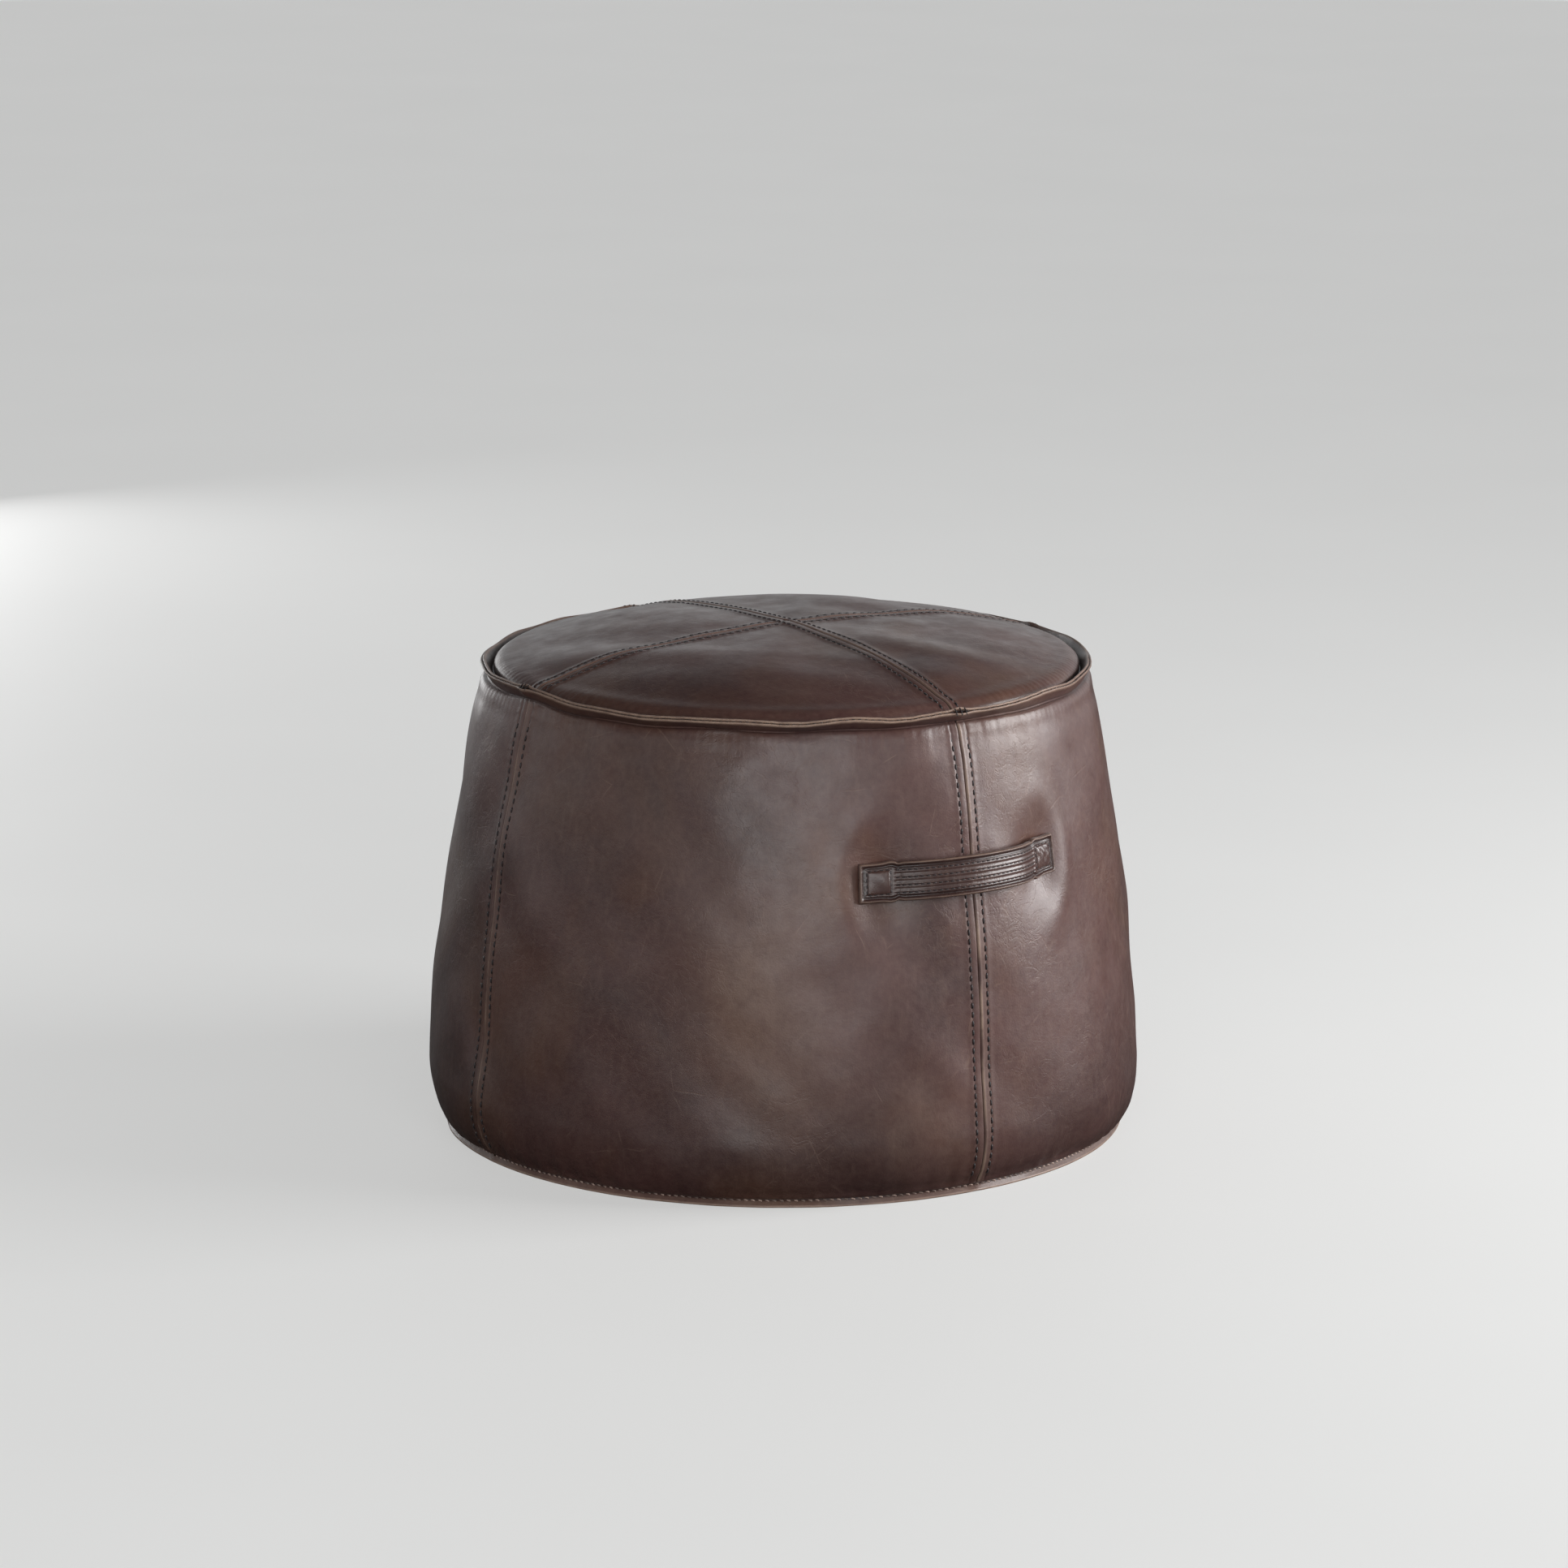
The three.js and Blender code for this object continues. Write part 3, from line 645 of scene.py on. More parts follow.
def base_panel(place, start, sizes, material):
    """Half of the floor leather, from the zip's slot out to the inner ply of the floor edge."""
    corner = math.atan(SLOT_HALF_LENGTH / SLOT_HALF_WIDTH)
    along_slot = np.arctan(np.linspace(0, SLOT_HALF_LENGTH, 66) / SLOT_HALF_WIDTH)
    beyond = np.linspace(corner, QUARTER - 0.0006, 8)[1:]
    right = np.unique(np.concatenate([along_slot, np.linspace(0, corner, 90), beyond]))
    angle = np.concatenate([-right[:0:-1], right])
    cosine, sine = np.cos(angle), np.abs(np.sin(angle))
    to_end = SLOT_HALF_LENGTH / np.maximum(sine, 0.01)
    inner_radius = np.where(np.abs(angle) <= corner, SLOT_HALF_WIDTH / cosine, to_end)
    way, across = edge_ways(np.full(len(angle), FOOT_TILT), True)
    root = FOOT_SEAM - FACE_OUT * across
    bend = root + way * (BASE_HEIGHT - root[0, 1]) / way[0, 1]
    tip_length = (BASE_HEIGHT - 0.05) / -way[0, 1]
    flat = [
        np.stack([inner_radius + (bend[:, 0] - inner_radius) * s, np.full(len(angle), BASE_HEIGHT)], 1)
        for s in (0, 0.02, 0.05, 0.2, 0.4, 0.6, 0.8, 0.93, 0.97, 0.985, 1.0)
    ]
    foot = [bend + way * tip_length * s for s in (0.15, 0.4, 0.7, 1.0)]
    path = np.stack(flat + foot, 1)
    shares = [crowded(60) * 0.5 + even(60) * 0.5, np.append(crowded(12), 1.0)]
    points, stops, marks = resampled(path, (len(flat) - 1,), shares)
    out = facing(points, 1)
    angle = np.broadcast_to(angle[:, None], stops.shape)
    x, y = points[..., 0] * np.sin(angle), -points[..., 0] * np.cos(angle)
    lumps = 0.8 * broad_lumps(x / 200 + 1, y) + 0.3 * small_lumps(x / 260, y)
    beyond = step(np.abs(x), SLOT_HALF_LENGTH, SLOT_HALF_LENGTH + 4)
    flat_share = 1 - step(stops, marks[:, 1, None] - 8, marks[:, 1, None])
    slot_row = bell(np.hypot(np.maximum(0, np.abs(x) - SLOT_HALF_LENGTH), y) - 11, 0.9)
    seam = seam_relief(np.abs(y), y > 0) * beyond - 0.5 * slot_row
    relief = (lumps * step(stops, 2, 30) + seam) * flat_share
    back_rows = inner_rows(points.shape[1], 4, 6)
    loops = ply(points, out, stops, marks[:, -1], relief, sizes.leather / MM, back_rows)
    wear = 0.5 * bell(stops, 1.2) + 0.5 * step(stops, marks[:, -1, None] - 3, marks[:, -1, None])
    # Painted shade: in the fold at the floor edge and along the stitch rows by the zip's slot.
    dark = bell(stops - marks[:, 1, None], 3) + 0.6 * slot_row
    return panel_piece("base_panel_soft_" + place, angle + start, loops, wear, dark, back_rows, material)


# ---- the handle ----

HANDLE_RADIUS = float(wall_radius(np.array(HANDLE_HEIGHT)))
HANDLE_LEAN = math.atan(WALL_LEAN + 2 * WALL_BOW * (HANDLE_HEIGHT - BELLY_HEIGHT))
HANDLE_OUT, HANDLE_UP = math.cos(HANDLE_LEAN), math.sin(HANDLE_LEAN)


def strap_point(along, across, lift):
    """A point of the handle, from its middle along the wall, up the wall and out from it, and its way out."""
    angle = (along + HANDLE_SHIFT) / HANDLE_RADIUS
    across = across - 0.8 * step(-along, 60, 92) + 1.5 * step(along, 40, 92)
    free = np.minimum(1, np.abs(along) / HANDLE_FREE)
    stand = SEWN_GAP + (FINGER_GAP - SEWN_GAP) * (1 - free**2)
    stand = stand - 5.4 * step(np.abs(along), 42, 80) - 0.4 * step(np.abs(along), 80, 90)
    reach = stand + lift
    away = HANDLE_RADIUS + reach * HANDLE_OUT - across * HANDLE_UP
    height = HANDLE_HEIGHT + reach * HANDLE_UP + across * HANDLE_OUT
    return turned(angle, away, height), turned(angle, HANDLE_OUT + 0 * along, HANDLE_UP + 0 * along)


def strap_half_width(along, width):
    """Half the strap's width: a little wider at its sewn boxes, with a notch where each begins."""
    far = np.abs(along)
    return width / 2 + 0.9 * bell(far - 66, 5) - 0.8 * bell(far - 60.5, 2.2)


def strap_face(along, across, half):
    """Height of the strap's outer face over its back: rolled edges, gutters, stitched middle, puffy boxes."""
    side = half - np.abs(across)
    end = HANDLE_HALF - np.abs(along)
    border = -np.logaddexp(-side / 0.7, -end / 0.7) * 0.7
    roll = 1.7 * bell(border - 1.5, 1.2)
    middle = 0.9 * step(border, 3.6, 5.6)
    free = 1 - step(np.abs(along), 62, 64)
    rows = sum(-0.75 * bell(across - row, 0.7) for row in STRAP_ROWS) * free
    pads = 0.35 * np.cos(across * 2 * math.pi / 5.7 + math.pi) * free * step(border, 4, 6)
    off = np.abs(along) - BOX_MIDDLE
    inside = np.clip(1 - (off / BOX_HALF) ** 2, 0, 1) * np.clip(1 - (across / BOX_HALF) ** 2, 0, 1)
    crumple = np.where(along > 0, small_lumps(along / 22, across * 9), np.sin(0.22 * (across - off)))
    puff = (1.5 + 0.4 * crumple) * np.sqrt(inside)
    frame_row = -0.6 * bell(np.maximum(np.abs(off), np.abs(across)) - BOX_HALF, 0.7) * (1 - free)
    edge = edge_round(np.minimum(side, end) / 1.3, 0.02)
    return (1.5 + roll + middle + rows + pads + puff + frame_row) * edge


def strap_layer(name, lift, face, width, shorter, material, marked=False):
    """One layer of the handle as a closed loft, its outer face given by face(along, across, half)."""
    length = HANDLE_HALF - shorter
    along = np.linspace(-length, length, 261)[:, None]
    half = strap_half_width(along, width)
    share = np.linspace(-1, 1, 69)[None]
    across = half * share
    outer = strap_point(along + 0 * across, across, lift + face(along, across, half))[0]
    back_across = half * np.linspace(1, -1, 9)[None]
    back = strap_point(along + 0 * back_across, back_across, lift + 0 * back_across)[0]
    marks = None
    if marked:
        border = np.minimum(half - np.abs(across), HANDLE_HALF - np.abs(along))
        # Paler along the crest of the rolled edges: partly wear, partly a painted highlight. Painted shade in
        # the gutters just inside them.
        wear = 0.55 * bell(border - 1.1, 0.55)
        gutter_shade = bell(border - 4.0, 1.4)
        none = back_across * 0 + along * 0
        marks = {
            "wear_and_highlight": np.concatenate([wear + 0 * across, none], 1),
            "shaded_crease": np.concatenate([gutter_shade + 0 * across, none], 1),
        }
    return loft(name, np.concatenate([outer, back], 1), material, marks)


def webbing_ribs(along, across):
    return 0.06 * np.cos(across * 2 * math.pi / 2.4) * np.cos(along * 2 * math.pi / 3.2)


def woven_face(thickness):
    """The outer face of a ribbed layer with thin rounded edges."""

    def face(along, across, half):
        edge = edge_round((half - np.abs(across)) / 0.5, 0.05)
        return (thickness - 0.06 + webbing_ribs(along, across)) * edge

    return face


def anchor_patch(name, side, material):
    """The backing behind a sewn end, inside the cover."""
    middle = side * (HANDLE_HALF + HANDLE_FREE) / 2
    along = middle + np.linspace(-19, 19, 61)[:, None]
    across = np.linspace(-18, 18, 41)[None]
    angle = along / HANDLE_RADIUS
    pulled = soft_shape(angle, HANDLE_HEIGHT + across) - 1.2 * bell(along, 32)

    def sheet(lift):
        away = pulled + lift
        height = HANDLE_HEIGHT + across + away * HANDLE_UP + 0 * along
        bow = wall_radius(HANDLE_HEIGHT + across) + away * HANDLE_OUT
        return turned(angle + 0 * across, bow, height)

    loops = np.concatenate([sheet(-2.95 + webbing_ribs(along, across)), sheet(-4.1)[:, ::-1]], 1)
    return loft(name, loops, material)


# ---- thread ----


def stitch_run(path, out, pitch, length, thick, slant=0.0, sink=0.0):
    """The points of a row of stitches along a path, each a short bow that goes in at its ends."""
    along = measured(path[None])[0]
    count = max(1, round(along[-1] / pitch))
    middle = (np.arange(count) + 0.5) * along[-1] / count

    def at(values, where):
        return np.stack([np.interp(where, along, values[:, axis]) for axis in range(3)], 1)

    ahead = at(path, middle + 0.6) - at(path, middle - 0.6)
    ahead /= np.linalg.norm(ahead, axis=1, keepdims=True)
    up = at(out, middle)
    up -= ahead * np.sum(up * ahead, 1, keepdims=True)
    up /= np.linalg.norm(up, axis=1, keepdims=True)
    side = np.cross(ahead, up)
    way = ahead * math.cos(slant) + side * math.sin(slant)
    side = np.cross(way, up)
    share = np.array([-1, -0.86, -0.55, -0.2, 0.2, 0.55, 0.86, 1])[None, :, None, None]
    swell = np.array([0.3, 0.75, 1, 1, 1, 1, 0.75, 0.3])[None, :, None, None] * thick / 2
    turn = (np.arange(8) * math.pi / 4)[None, None, :, None]
    lift = thick * (0.32 - 0.75 * share**4) - sink
    middles, way, up, side = (vectors[:, None, None] for vectors in (at(path, middle), way, up, side))
    centre = middles + way * share * length / 2 + up * lift
    return centre + (side * np.cos(turn) + up * np.sin(turn) * 0.8) * swell


def thread_piece(name, runs, material):
    """All the stitches of one group as one piece."""
    return settle(tubes(name, np.concatenate(runs), material), "stitching")


def seam_thread(sizes, material):
    """Two rows of stitches beside each seam of the wall and the top."""
    row, pitch, length, thick = (
        value / MM for value in (sizes.seam_row, sizes.stitch_pitch, sizes.stitch, sizes.thread)
    )
    thick = 1.35 * thick
    runs = []
    height = np.linspace(13, 349, 400)
    for quarter in range(4):
        for side in (-1, 1):
            angle = quarter * QUARTER + side * row / wall_radius(height)
            runs.append(stitch_run(*on_wall(angle, height), pitch, length, thick))
    reach = np.linspace(8, 225, 300)
    for side in (-1, 1):
        whole = np.linspace(-225, 225, 600)
        runs.append(stitch_run(*on_top(side * row + 0 * whole, whole), pitch, length, thick))
        for way in (-1, 1):
            runs.append(stitch_run(*on_top(way * (reach + 2), side * row + 0 * reach), pitch, length, thick))
    return thread_piece("seam_thread", runs, material)


def rim_thread(sizes, material):
    """Stitches in the groove of the standing rim, whipped stitches below it, and wraps over each knot."""
    thick = sizes.thread / MM
    angle = np.linspace(0, 2 * math.pi, 1500)
    way, across = edge_ways(rim_tilt(angle), False)
    tip = rim_seam(angle) + way * (rim_width(angle) - 0.6)[:, None]
    tip = tip + across * rim_shift(angle)[:, None]
    groove = turned(angle, tip[:, 0], tip[:, 1])
    runs = [stitch_run(groove, turned(angle, way[:, 0], way[:, 1]), 5.0, 3.0, 0.7, sink=0.5)]
    under = WALL_TOP - 0.6 + 2.0 * rim_front(angle)
    runs.append(stitch_run(*on_wall(angle, under), 5.0, 2.6, 0.7 * thick, 1.1))
    for quarter in range(4):
        for shift in (-4.2, 0.0, 4.2):
            here = np.full(3, quarter * QUARTER + shift / TOP_SEAM[0])
            way, across = edge_ways(rim_tilt(here), False)
            over = rim_width(here) + np.array([-1.2, -0.2, -1.2])
            top = rim_seam(here) + way * over[:, None] + across * np.array([-4.2, 0, 4.2])[:, None]
            path = turned(here, top[:, 0], top[:, 1])
            runs.append(stitch_run(path, turned(here, way[:, 0], way[:, 1]), 9, 7.2, 0.9 * thick))
    return thread_piece("rim_thread", runs, material)


def foot_thread(sizes, material):
    """Whipped stitches along the floor edge, and the rows that hold the zip."""
    thick = sizes.thread / MM
    angle = np.linspace(0, 2 * math.pi, 1500)
    root = FOOT_SEAM + FACE_OUT * np.array([0.8, 0.6]) + np.array([0.6, -0.7])
    path = turned(angle, root[0], root[1] + 0 * angle)
    out = turned(angle, 0.8 + 0 * angle, 0.6 + 0 * angle)
    runs = [stitch_run(path, out, 5.4, 3.6, 1.15 * thick, 0.35)]
    down = np.array([0.0, 0.0, -1.0])
    for side in (-1, 1):
        x = np.linspace(-SLOT_HALF_LENGTH, SLOT_HALF_LENGTH, 200)
        row = np.stack([x, 0 * x + side * 11, 0 * x + BASE_HEIGHT], 1)
        runs.append(stitch_run(row, np.tile(down, (len(x), 1)), 5.0, 3.8, 0.9 * thick))
        y = np.linspace(-9, 9, 20)
        row = np.stack([0 * y + side * (SLOT_HALF_LENGTH + 4), y, 0 * y + BASE_HEIGHT], 1)
        runs.append(stitch_run(row, np.tile(down, (len(y), 1)), 4.5, 3.4, 0.9 * thick))
    return thread_piece("floor_edge_thread", runs, material)


def handle_thread(sizes, material):
    """Four rows along the handle, and a box of stitches at each end."""
    thick = sizes.thread / MM
    lift = 2.4
    width = sizes.strap / MM

    def row(along, across):
        along, across = np.broadcast_arrays(along * 1.0, across * 1.0)
        face = strap_face(along, across, strap_half_width(along, width))
        return strap_point(along, across, lift + face)

    runs = []
    along = np.linspace(-63, 63, 300)
    for across in STRAP_ROWS:
        runs.append(stitch_run(*row(along, np.array(across)), 4.6, 3.4, 0.85 * thick))
    for side in (-1, 1):
        middle = side * BOX_MIDDLE
        x = np.linspace(middle - BOX_HALF, middle + BOX_HALF, 60)
        y = np.linspace(-BOX_HALF, BOX_HALF, 60)
        for across in (-BOX_HALF, BOX_HALF):
            runs.append(stitch_run(*row(x, np.array(across)), 4.4, 3.3, 0.85 * thick))
        for edge in (-BOX_HALF, BOX_HALF):
            runs.append(stitch_run(*row(np.array(middle + edge), y), 4.4, 3.3, 0.85 * thick))
    return thread_piece("handle_thread", runs, material)


# ---- inside ----


def turned_piece(name, profile, relief, material, columns=192):
    """A ring or solid turned round the middle, with a relief(angle, radius, height) along its own faces."""
    loop = np.array(profile)
    ahead = np.roll(loop, -1, 0) - np.roll(loop, 1, 0)
    ahead /= np.maximum(1e-6, np.linalg.norm(ahead, axis=1, keepdims=True))
    angle = (np.arange(columns) * 2 * math.pi / columns)[:, None]
    radius, height = loop[None, :, 0], loop[None, :, 1]
    moved = relief(angle, radius, height)
    out = np.stack([radius + moved[0], height + moved[1]], -1)
    return loft(name, turned(angle, out[..., 0], out[..., 1]), material, ring=True)


def bag_relief(creases):
    """The relief of the inner bag: the cover's shape, with cloth creases of this depth."""

    def relief(angle, radius, height):
        fade = step(radius, 120, 200)
        shape = soft_shape(angle, height) * fade * (1 - step(height, 342, 366)) * step(height, 16, 40)
        wrinkle = creases * cloth_creases(angle, height) * fade
        lift = 0.8 * broad_lumps(radius * np.sin(angle) / 200, -radius * np.cos(angle))
        return shape + wrinkle, lift * step(height, 350, 362) + 0.3 * creases * cloth_creases(angle, radius)

    return relief


def sheet_loop(path, thick, side):
    """A closed outline of a sheet whose outer face follows the path."""
    points = np.array(path)
    out = facing(points[None], side)[0]
    return np.concatenate([points, (points - out * thick)[::-1]])


def inside_pieces(colours):
    """The inner bag's side, top and base, and the beads in it."""
    cloth = cloth_material("Cotton, plain woven", colours.liner, 2.4)
    beads = bead_material(colours.beads)
    height = np.linspace(18, 342, 60)
    side = np.stack([wall_radius(height) - 5.4, height], 1)
    turn = np.radians(np.linspace(0.15, 80, 50))
    dome = np.stack([216 * np.sin(turn), DOME_FOOT - 5.4 + DOME_RISE * np.cos(turn) ** DOME_FULLNESS], 1)
    foot_radius = float(wall_radius(np.array(18.0))) - 6.7
    floor = np.stack([np.linspace(0.6, foot_radius, 50), np.full(50, 13.6)], 1)
    relief = bag_relief(0.12)
    for node, path, face in (("liner_side", side, 1), ("liner_top", dome, -1), ("liner_base", floor, 1)):
        piece = turned_piece(node + "_cloth", sheet_loop(path, 1, face), relief, cloth)
        settle(piece, "liner_cloth", node)
    filling = np.concatenate(
        [
            np.stack([np.linspace(0.6, foot_radius - 1, 40), np.full(40, 14.9)], 1),
            side - np.array([1.35, 0]),
            (dome - np.array([0, 1.35]))[::-1],
        ]
    )
    piece = turned_piece("bead_filling", filling, relief, beads)
    settle(piece, "bead_fill", "bead_fill", fill=0.85)


# ---- the zip ----


def zip_tape(name, side, material):
    x = np.linspace(-SLOT_HALF_LENGTH, SLOT_HALF_LENGTH, 420)[:, None]
    y = side * np.linspace(1.6, 16, 40)[None]
    rib = 0.05 * np.cos(y * 2 * math.pi / 1.8) * np.cos(x * 2 * math.pi / 3)
    cord = 0.12 * bell(np.abs(y) - 5.2, 0.5)
    bottom = np.stack(np.broadcast_arrays(x, y, 10.56 - rib - cord), -1)
    top = np.stack(np.broadcast_arrays(x, y[:, ::-1], np.full_like(x + y, 11.1)), -1)
    return loft(name, np.concatenate([bottom, top], 1), material)


def zip_teeth(name, side, material):
    """A run of nylon coil: a hooked head, two legs and a stitch-flattened back at every pitch."""
    count = int(2 * ZIP_HALF_LENGTH / TOOTH_PITCH) - 1
    shift = TOOTH_PITCH / 2 if side > 0 else 0
    x = -ZIP_HALF_LENGTH + 0.8 + shift + np.arange(count) * TOOTH_PITCH
    turn = np.linspace(0, 2 * math.pi, 8, endpoint=False)
    reach = np.array([1.5, 1.58, 1.75, 2.15, 2.9, 3.5, 3.9, 4.02])
    wide = np.array([0.25, 0.5, 0.6, 0.45, 0.4, 0.42, 0.4, 0.2])
    deep = np.array([0.35, 0.75, 0.88, 0.8, 0.72, 0.72, 0.66, 0.35])
    ring = np.stack(
        [
            np.cos(turn)[None] * wide[:, None],
            np.broadcast_to(side * reach[:, None], (8, 8)),
            9.25 + np.sin(turn)[None] * deep[:, None],
        ],
        -1,
    )
    teeth = ring[None] + np.stack([x, 0 * x, 0 * x], 1)[:, None, None]
    return tubes(name, teeth, material)


# ---- materials ----


def per_mm(size):
    """The scale that makes a texture's features this many millimetres wide."""
    return 1 / (size * MM)


def add_node(tree, kind, inputs=None, **settings):
    """A node with its settings, and its sockets set or linked."""
    node = tree.nodes.new(kind)
    for name, value in settings.items():
        setattr(node, name, value)
    for name, value in (inputs or {}).items():
        if isinstance(value, bpy.types.NodeSocket):
            tree.links.new(value, node.inputs[name])
        else:
            node.inputs[name].default_value = value
    return node


def toned(colour, share):
    """The colour made darker by a share below 1, or paler by one above it."""
    return [min(1.0, c * share) for c in colour[:3]] + [1.0]


class Look:
    """A material while it is being made: its nodes, its shader and the place on the piece."""

    def __init__(self, name):
        self.material = bpy.data.materials.new(name)
        self.material.use_nodes = True
        self.tree = self.material.node_tree
        self.shader = self.tree.nodes["Principled BSDF"]
        self.place = self.node("ShaderNodeTexCoord").outputs["Object"]

    def node(self, kind, inputs=None, **settings):
        return add_node(self.tree, kind, inputs, **settings)

    def link(self, value, socket):
        self.tree.links.new(value, self.shader.inputs[socket])

    def noise(self, size, detail=3.0, rough=0.55, vector=None, distortion=0.0):
        sockets = {
            "Vector": vector or self.place,
            "Scale": per_mm(size),
            "Detail": detail,
            "Roughness": rough,
            "Distortion": distortion,
        }
        return self.node("ShaderNodeTexNoise", sockets).outputs["Fac"]

    def cells(self, size, vector=None, **settings):
        sockets = {"Vector": vector or self.place, "Scale": per_mm(size)}
        return self.node("ShaderNodeTexVoronoi", sockets, **settings).outputs["Distance"]

    def bands(self, scale, distortion, axis):
        sockets = {"Vector": self.place, "Scale": scale, "Distortion": distortion}
        return self.node("ShaderNodeTexWave", sockets, bands_direction=axis).outputs["Fac"]

    def moved(self, offset, scale=(1.0, 1.0, 1.0)):
        sockets = {"Vector": self.place, "Location": offset, "Scale": scale}
        return self.node("ShaderNodeMapping", sockets).outputs["Vector"]

    def spread(self, value, low, high, to_low=0.0, to_high=1.0):
        sockets = {"Value": value, "From Min": low, "From Max": high, "To Min": to_low, "To Max": to_high}
        return self.node("ShaderNodeMapRange", sockets).outputs["Result"]

    def mixed(self, share, first, second):
        return self.node("ShaderNodeMix", {0: share, 6: first, 7: second}, data_type="RGBA").outputs[2]

    def maths(self, operation, first, second):
        return self.node("ShaderNodeMath", {0: first, 1: second}, operation=operation).outputs[0]

    def raise_by(self, height, strength, depth, **settings):
        """Gives the surface a fine relief."""
        sockets = {"Strength": strength, "Distance": depth, "Height": height}
        self.link(self.node("ShaderNodeBump", sockets, **settings).outputs["Normal"], "Normal")


def leather_material(name, main, dark, warm, worn, roughness):
    """Pull-up leather, drum dyed, oiled and waxed: clouded brown that goes tan where it is folded or rubbed,
    with a low waxy shine, short scratches and almost no grain, and painted highlights and shade where marked."""
    look = Look(name)
    noise, moved, spread, mixed, maths = look.noise, look.moved, look.spread, look.mixed, look.maths

    # clouds of oil 150 mm wide, warmer clouds of 110 mm, mottling of 22 mm and 5 mm
    clouds = spread(noise(150, 3, 0.5, moved((0.31, 0.12, 0.05)), 0.4), 0.42, 0.66)
    warmth = spread(noise(110, 3, 0.5, moved((1.7, 0.4, 0.9)), 0.5), 0.5, 0.72, 0.0, 0.45)
    mottle = spread(noise(22, 4, 0.6), 0.3, 0.7)
    fine = spread(noise(5, 3, 0.6), 0.25, 0.75)
    colour = mixed(maths("MULTIPLY", clouds, 0.75), main, dark)
    colour = mixed(warmth, colour, warm)
    colour = mixed(maths("MULTIPLY", mottle, 0.22), colour, toned(dark, 0.55))
    colour = mixed(maths("MULTIPLY", fine, 0.10), colour, worn)

    # rubbing marks drawn downwards, 6 mm wide and ten times as long
    streaks = spread(noise(6, 2, 0.5, moved((0.2, 0.0, 0.6), (1.0, 1.0, 0.1))), 0.58, 0.76)
    colour = mixed(maths("MULTIPLY", streaks, 0.05), colour, worn)

    # scratches about 0.6 mm wide, wider than real ones so that they show
    bends = look.node("ShaderNodeTexNoise", {"Vector": look.place, "Scale": per_mm(40)}).outputs["Color"]
    bent = look.node("ShaderNodeMix", {0: 0.007, 4: look.place, 5: bends}, data_type="VECTOR").outputs[1]
    edges = look.cells(38, bent, feature="DISTANCE_TO_EDGE")
    line = spread(edges, 0.0, 0.016, 1.0, 0.0)
    scratched = maths("MULTIPLY", line, spread(noise(28, 2, 0.5, moved((0.9, 0.9, 0.2))), 0.56, 0.66))
    colour = mixed(maths("MULTIPLY", scratched, 0.15), colour, worn)

    # fine branching creases about 12 mm apart, in patches where the leather has been bent
    patches = spread(noise(110, 2, 0.5, moved((0.5, 1.1, 0.4))), 0.46, 0.62)
    folds = maths("ABSOLUTE", maths("SUBTRACT", noise(20, 4, 0.62, moved((0.3, 0.8, 0.1)), 0.8), 0.5), 0.0)
    creased = maths("MULTIPLY", spread(folds, 0.0, 0.03, 1.0, 0.0), patches)
    colour = mixed(maths("MULTIPLY", creased, 0.05), colour, worn)

    # Paler where the piece is marked worn: real wear, and painted highlights on the wall and on the strap's
    # rolled edges.
    wear = look.node("ShaderNodeAttribute", attribute_name="wear_and_highlight").outputs["Fac"]
    shaded_crease = look.node("ShaderNodeAttribute", attribute_name="shaded_crease").outputs["Fac"]
    patchy = maths("MULTIPLY", wear, spread(noise(9, 3, 0.6), 0.28, 0.55, 0.55, 1.0))
    colour = mixed(patchy, colour, worn)
    # Painted shade: darker in the seams, folds and gutters, over the rim's inner face and towards the bottom
    # of the wall.
    colour = mixed(maths("MULTIPLY", shaded_crease, 0.62), colour, toned(dark, 0.3))
    look.link(colour, "Base Color")

    shine = spread(noise(16, 4, 0.6, moved((0.1, 0.7, 0.3))), 0.3, 0.7, roughness - 0.06, roughness + 0.07)
    shine = maths("ADD", shine, maths("MULTIPLY", patchy, 0.12))
    look.link(shine, "Roughness")

    # pores of 1.4 mm, soft wrinkles of 9 mm, scratches and creases, all shallow
    pores = look.cells(1.4)
    relief = maths("ADD", maths("MULTIPLY", pores, 0.10), maths("MULTIPLY", noise(9, 4, 0.55), 0.5))
    relief = maths("SUBTRACT", relief, maths("MULTIPLY", scratched, 0.12))
    relief = maths("SUBTRACT", relief, maths("MULTIPLY", creased, 0.16))
    look.raise_by(relief, 0.42, 0.0011)
    look.shader.inputs["IOR"].default_value = 1.5
    look.shader.inputs["Coat Weight"].default_value = 0.12
    look.shader.inputs["Coat Roughness"].default_value = 0.3
    return look.material


def cloth_material(name, colour, thread_mm):
    """Woven cloth: crossing threads that catch the light in turn, painted as paler bands with painted shade
    between them, with no shine.
    """
    look = Look(name)
    scale = per_mm(thread_mm) / 20 * math.pi
    weave = look.maths("MAXIMUM", look.bands(scale, 0.6, "X"), look.bands(scale, 0.6, "Z"))
    # Painted shade between the crossing threads, which keep their own colour.
    look.link(look.mixed(weave, toned(colour, 0.72), list(colour)), "Base Color")
    look.raise_by(weave, 0.5, 0.0004)
    look.shader.inputs["Roughness"].default_value = 0.85
    look.shader.inputs["Sheen Weight"].default_value = 0.2
    return look.material


def thread_material(name, colour):
    """Polyester thread, bonded and twisted: dark strands, with a painted glint in the lighter bands along each
    stitch.
    """
    look = Look(name)
    twist = look.bands(90.0, 1.0, "DIAGONAL")
    # The twist is painted in lighter and darker bands: a painted glint and painted shade.
    look.link(look.mixed(twist, toned(colour, 0.6), toned(colour, 1.7)), "Base Color")
    look.shader.inputs["Roughness"].default_value = 0.45
    look.shader.inputs["Sheen Weight"].default_value = 0.15
    return look.material


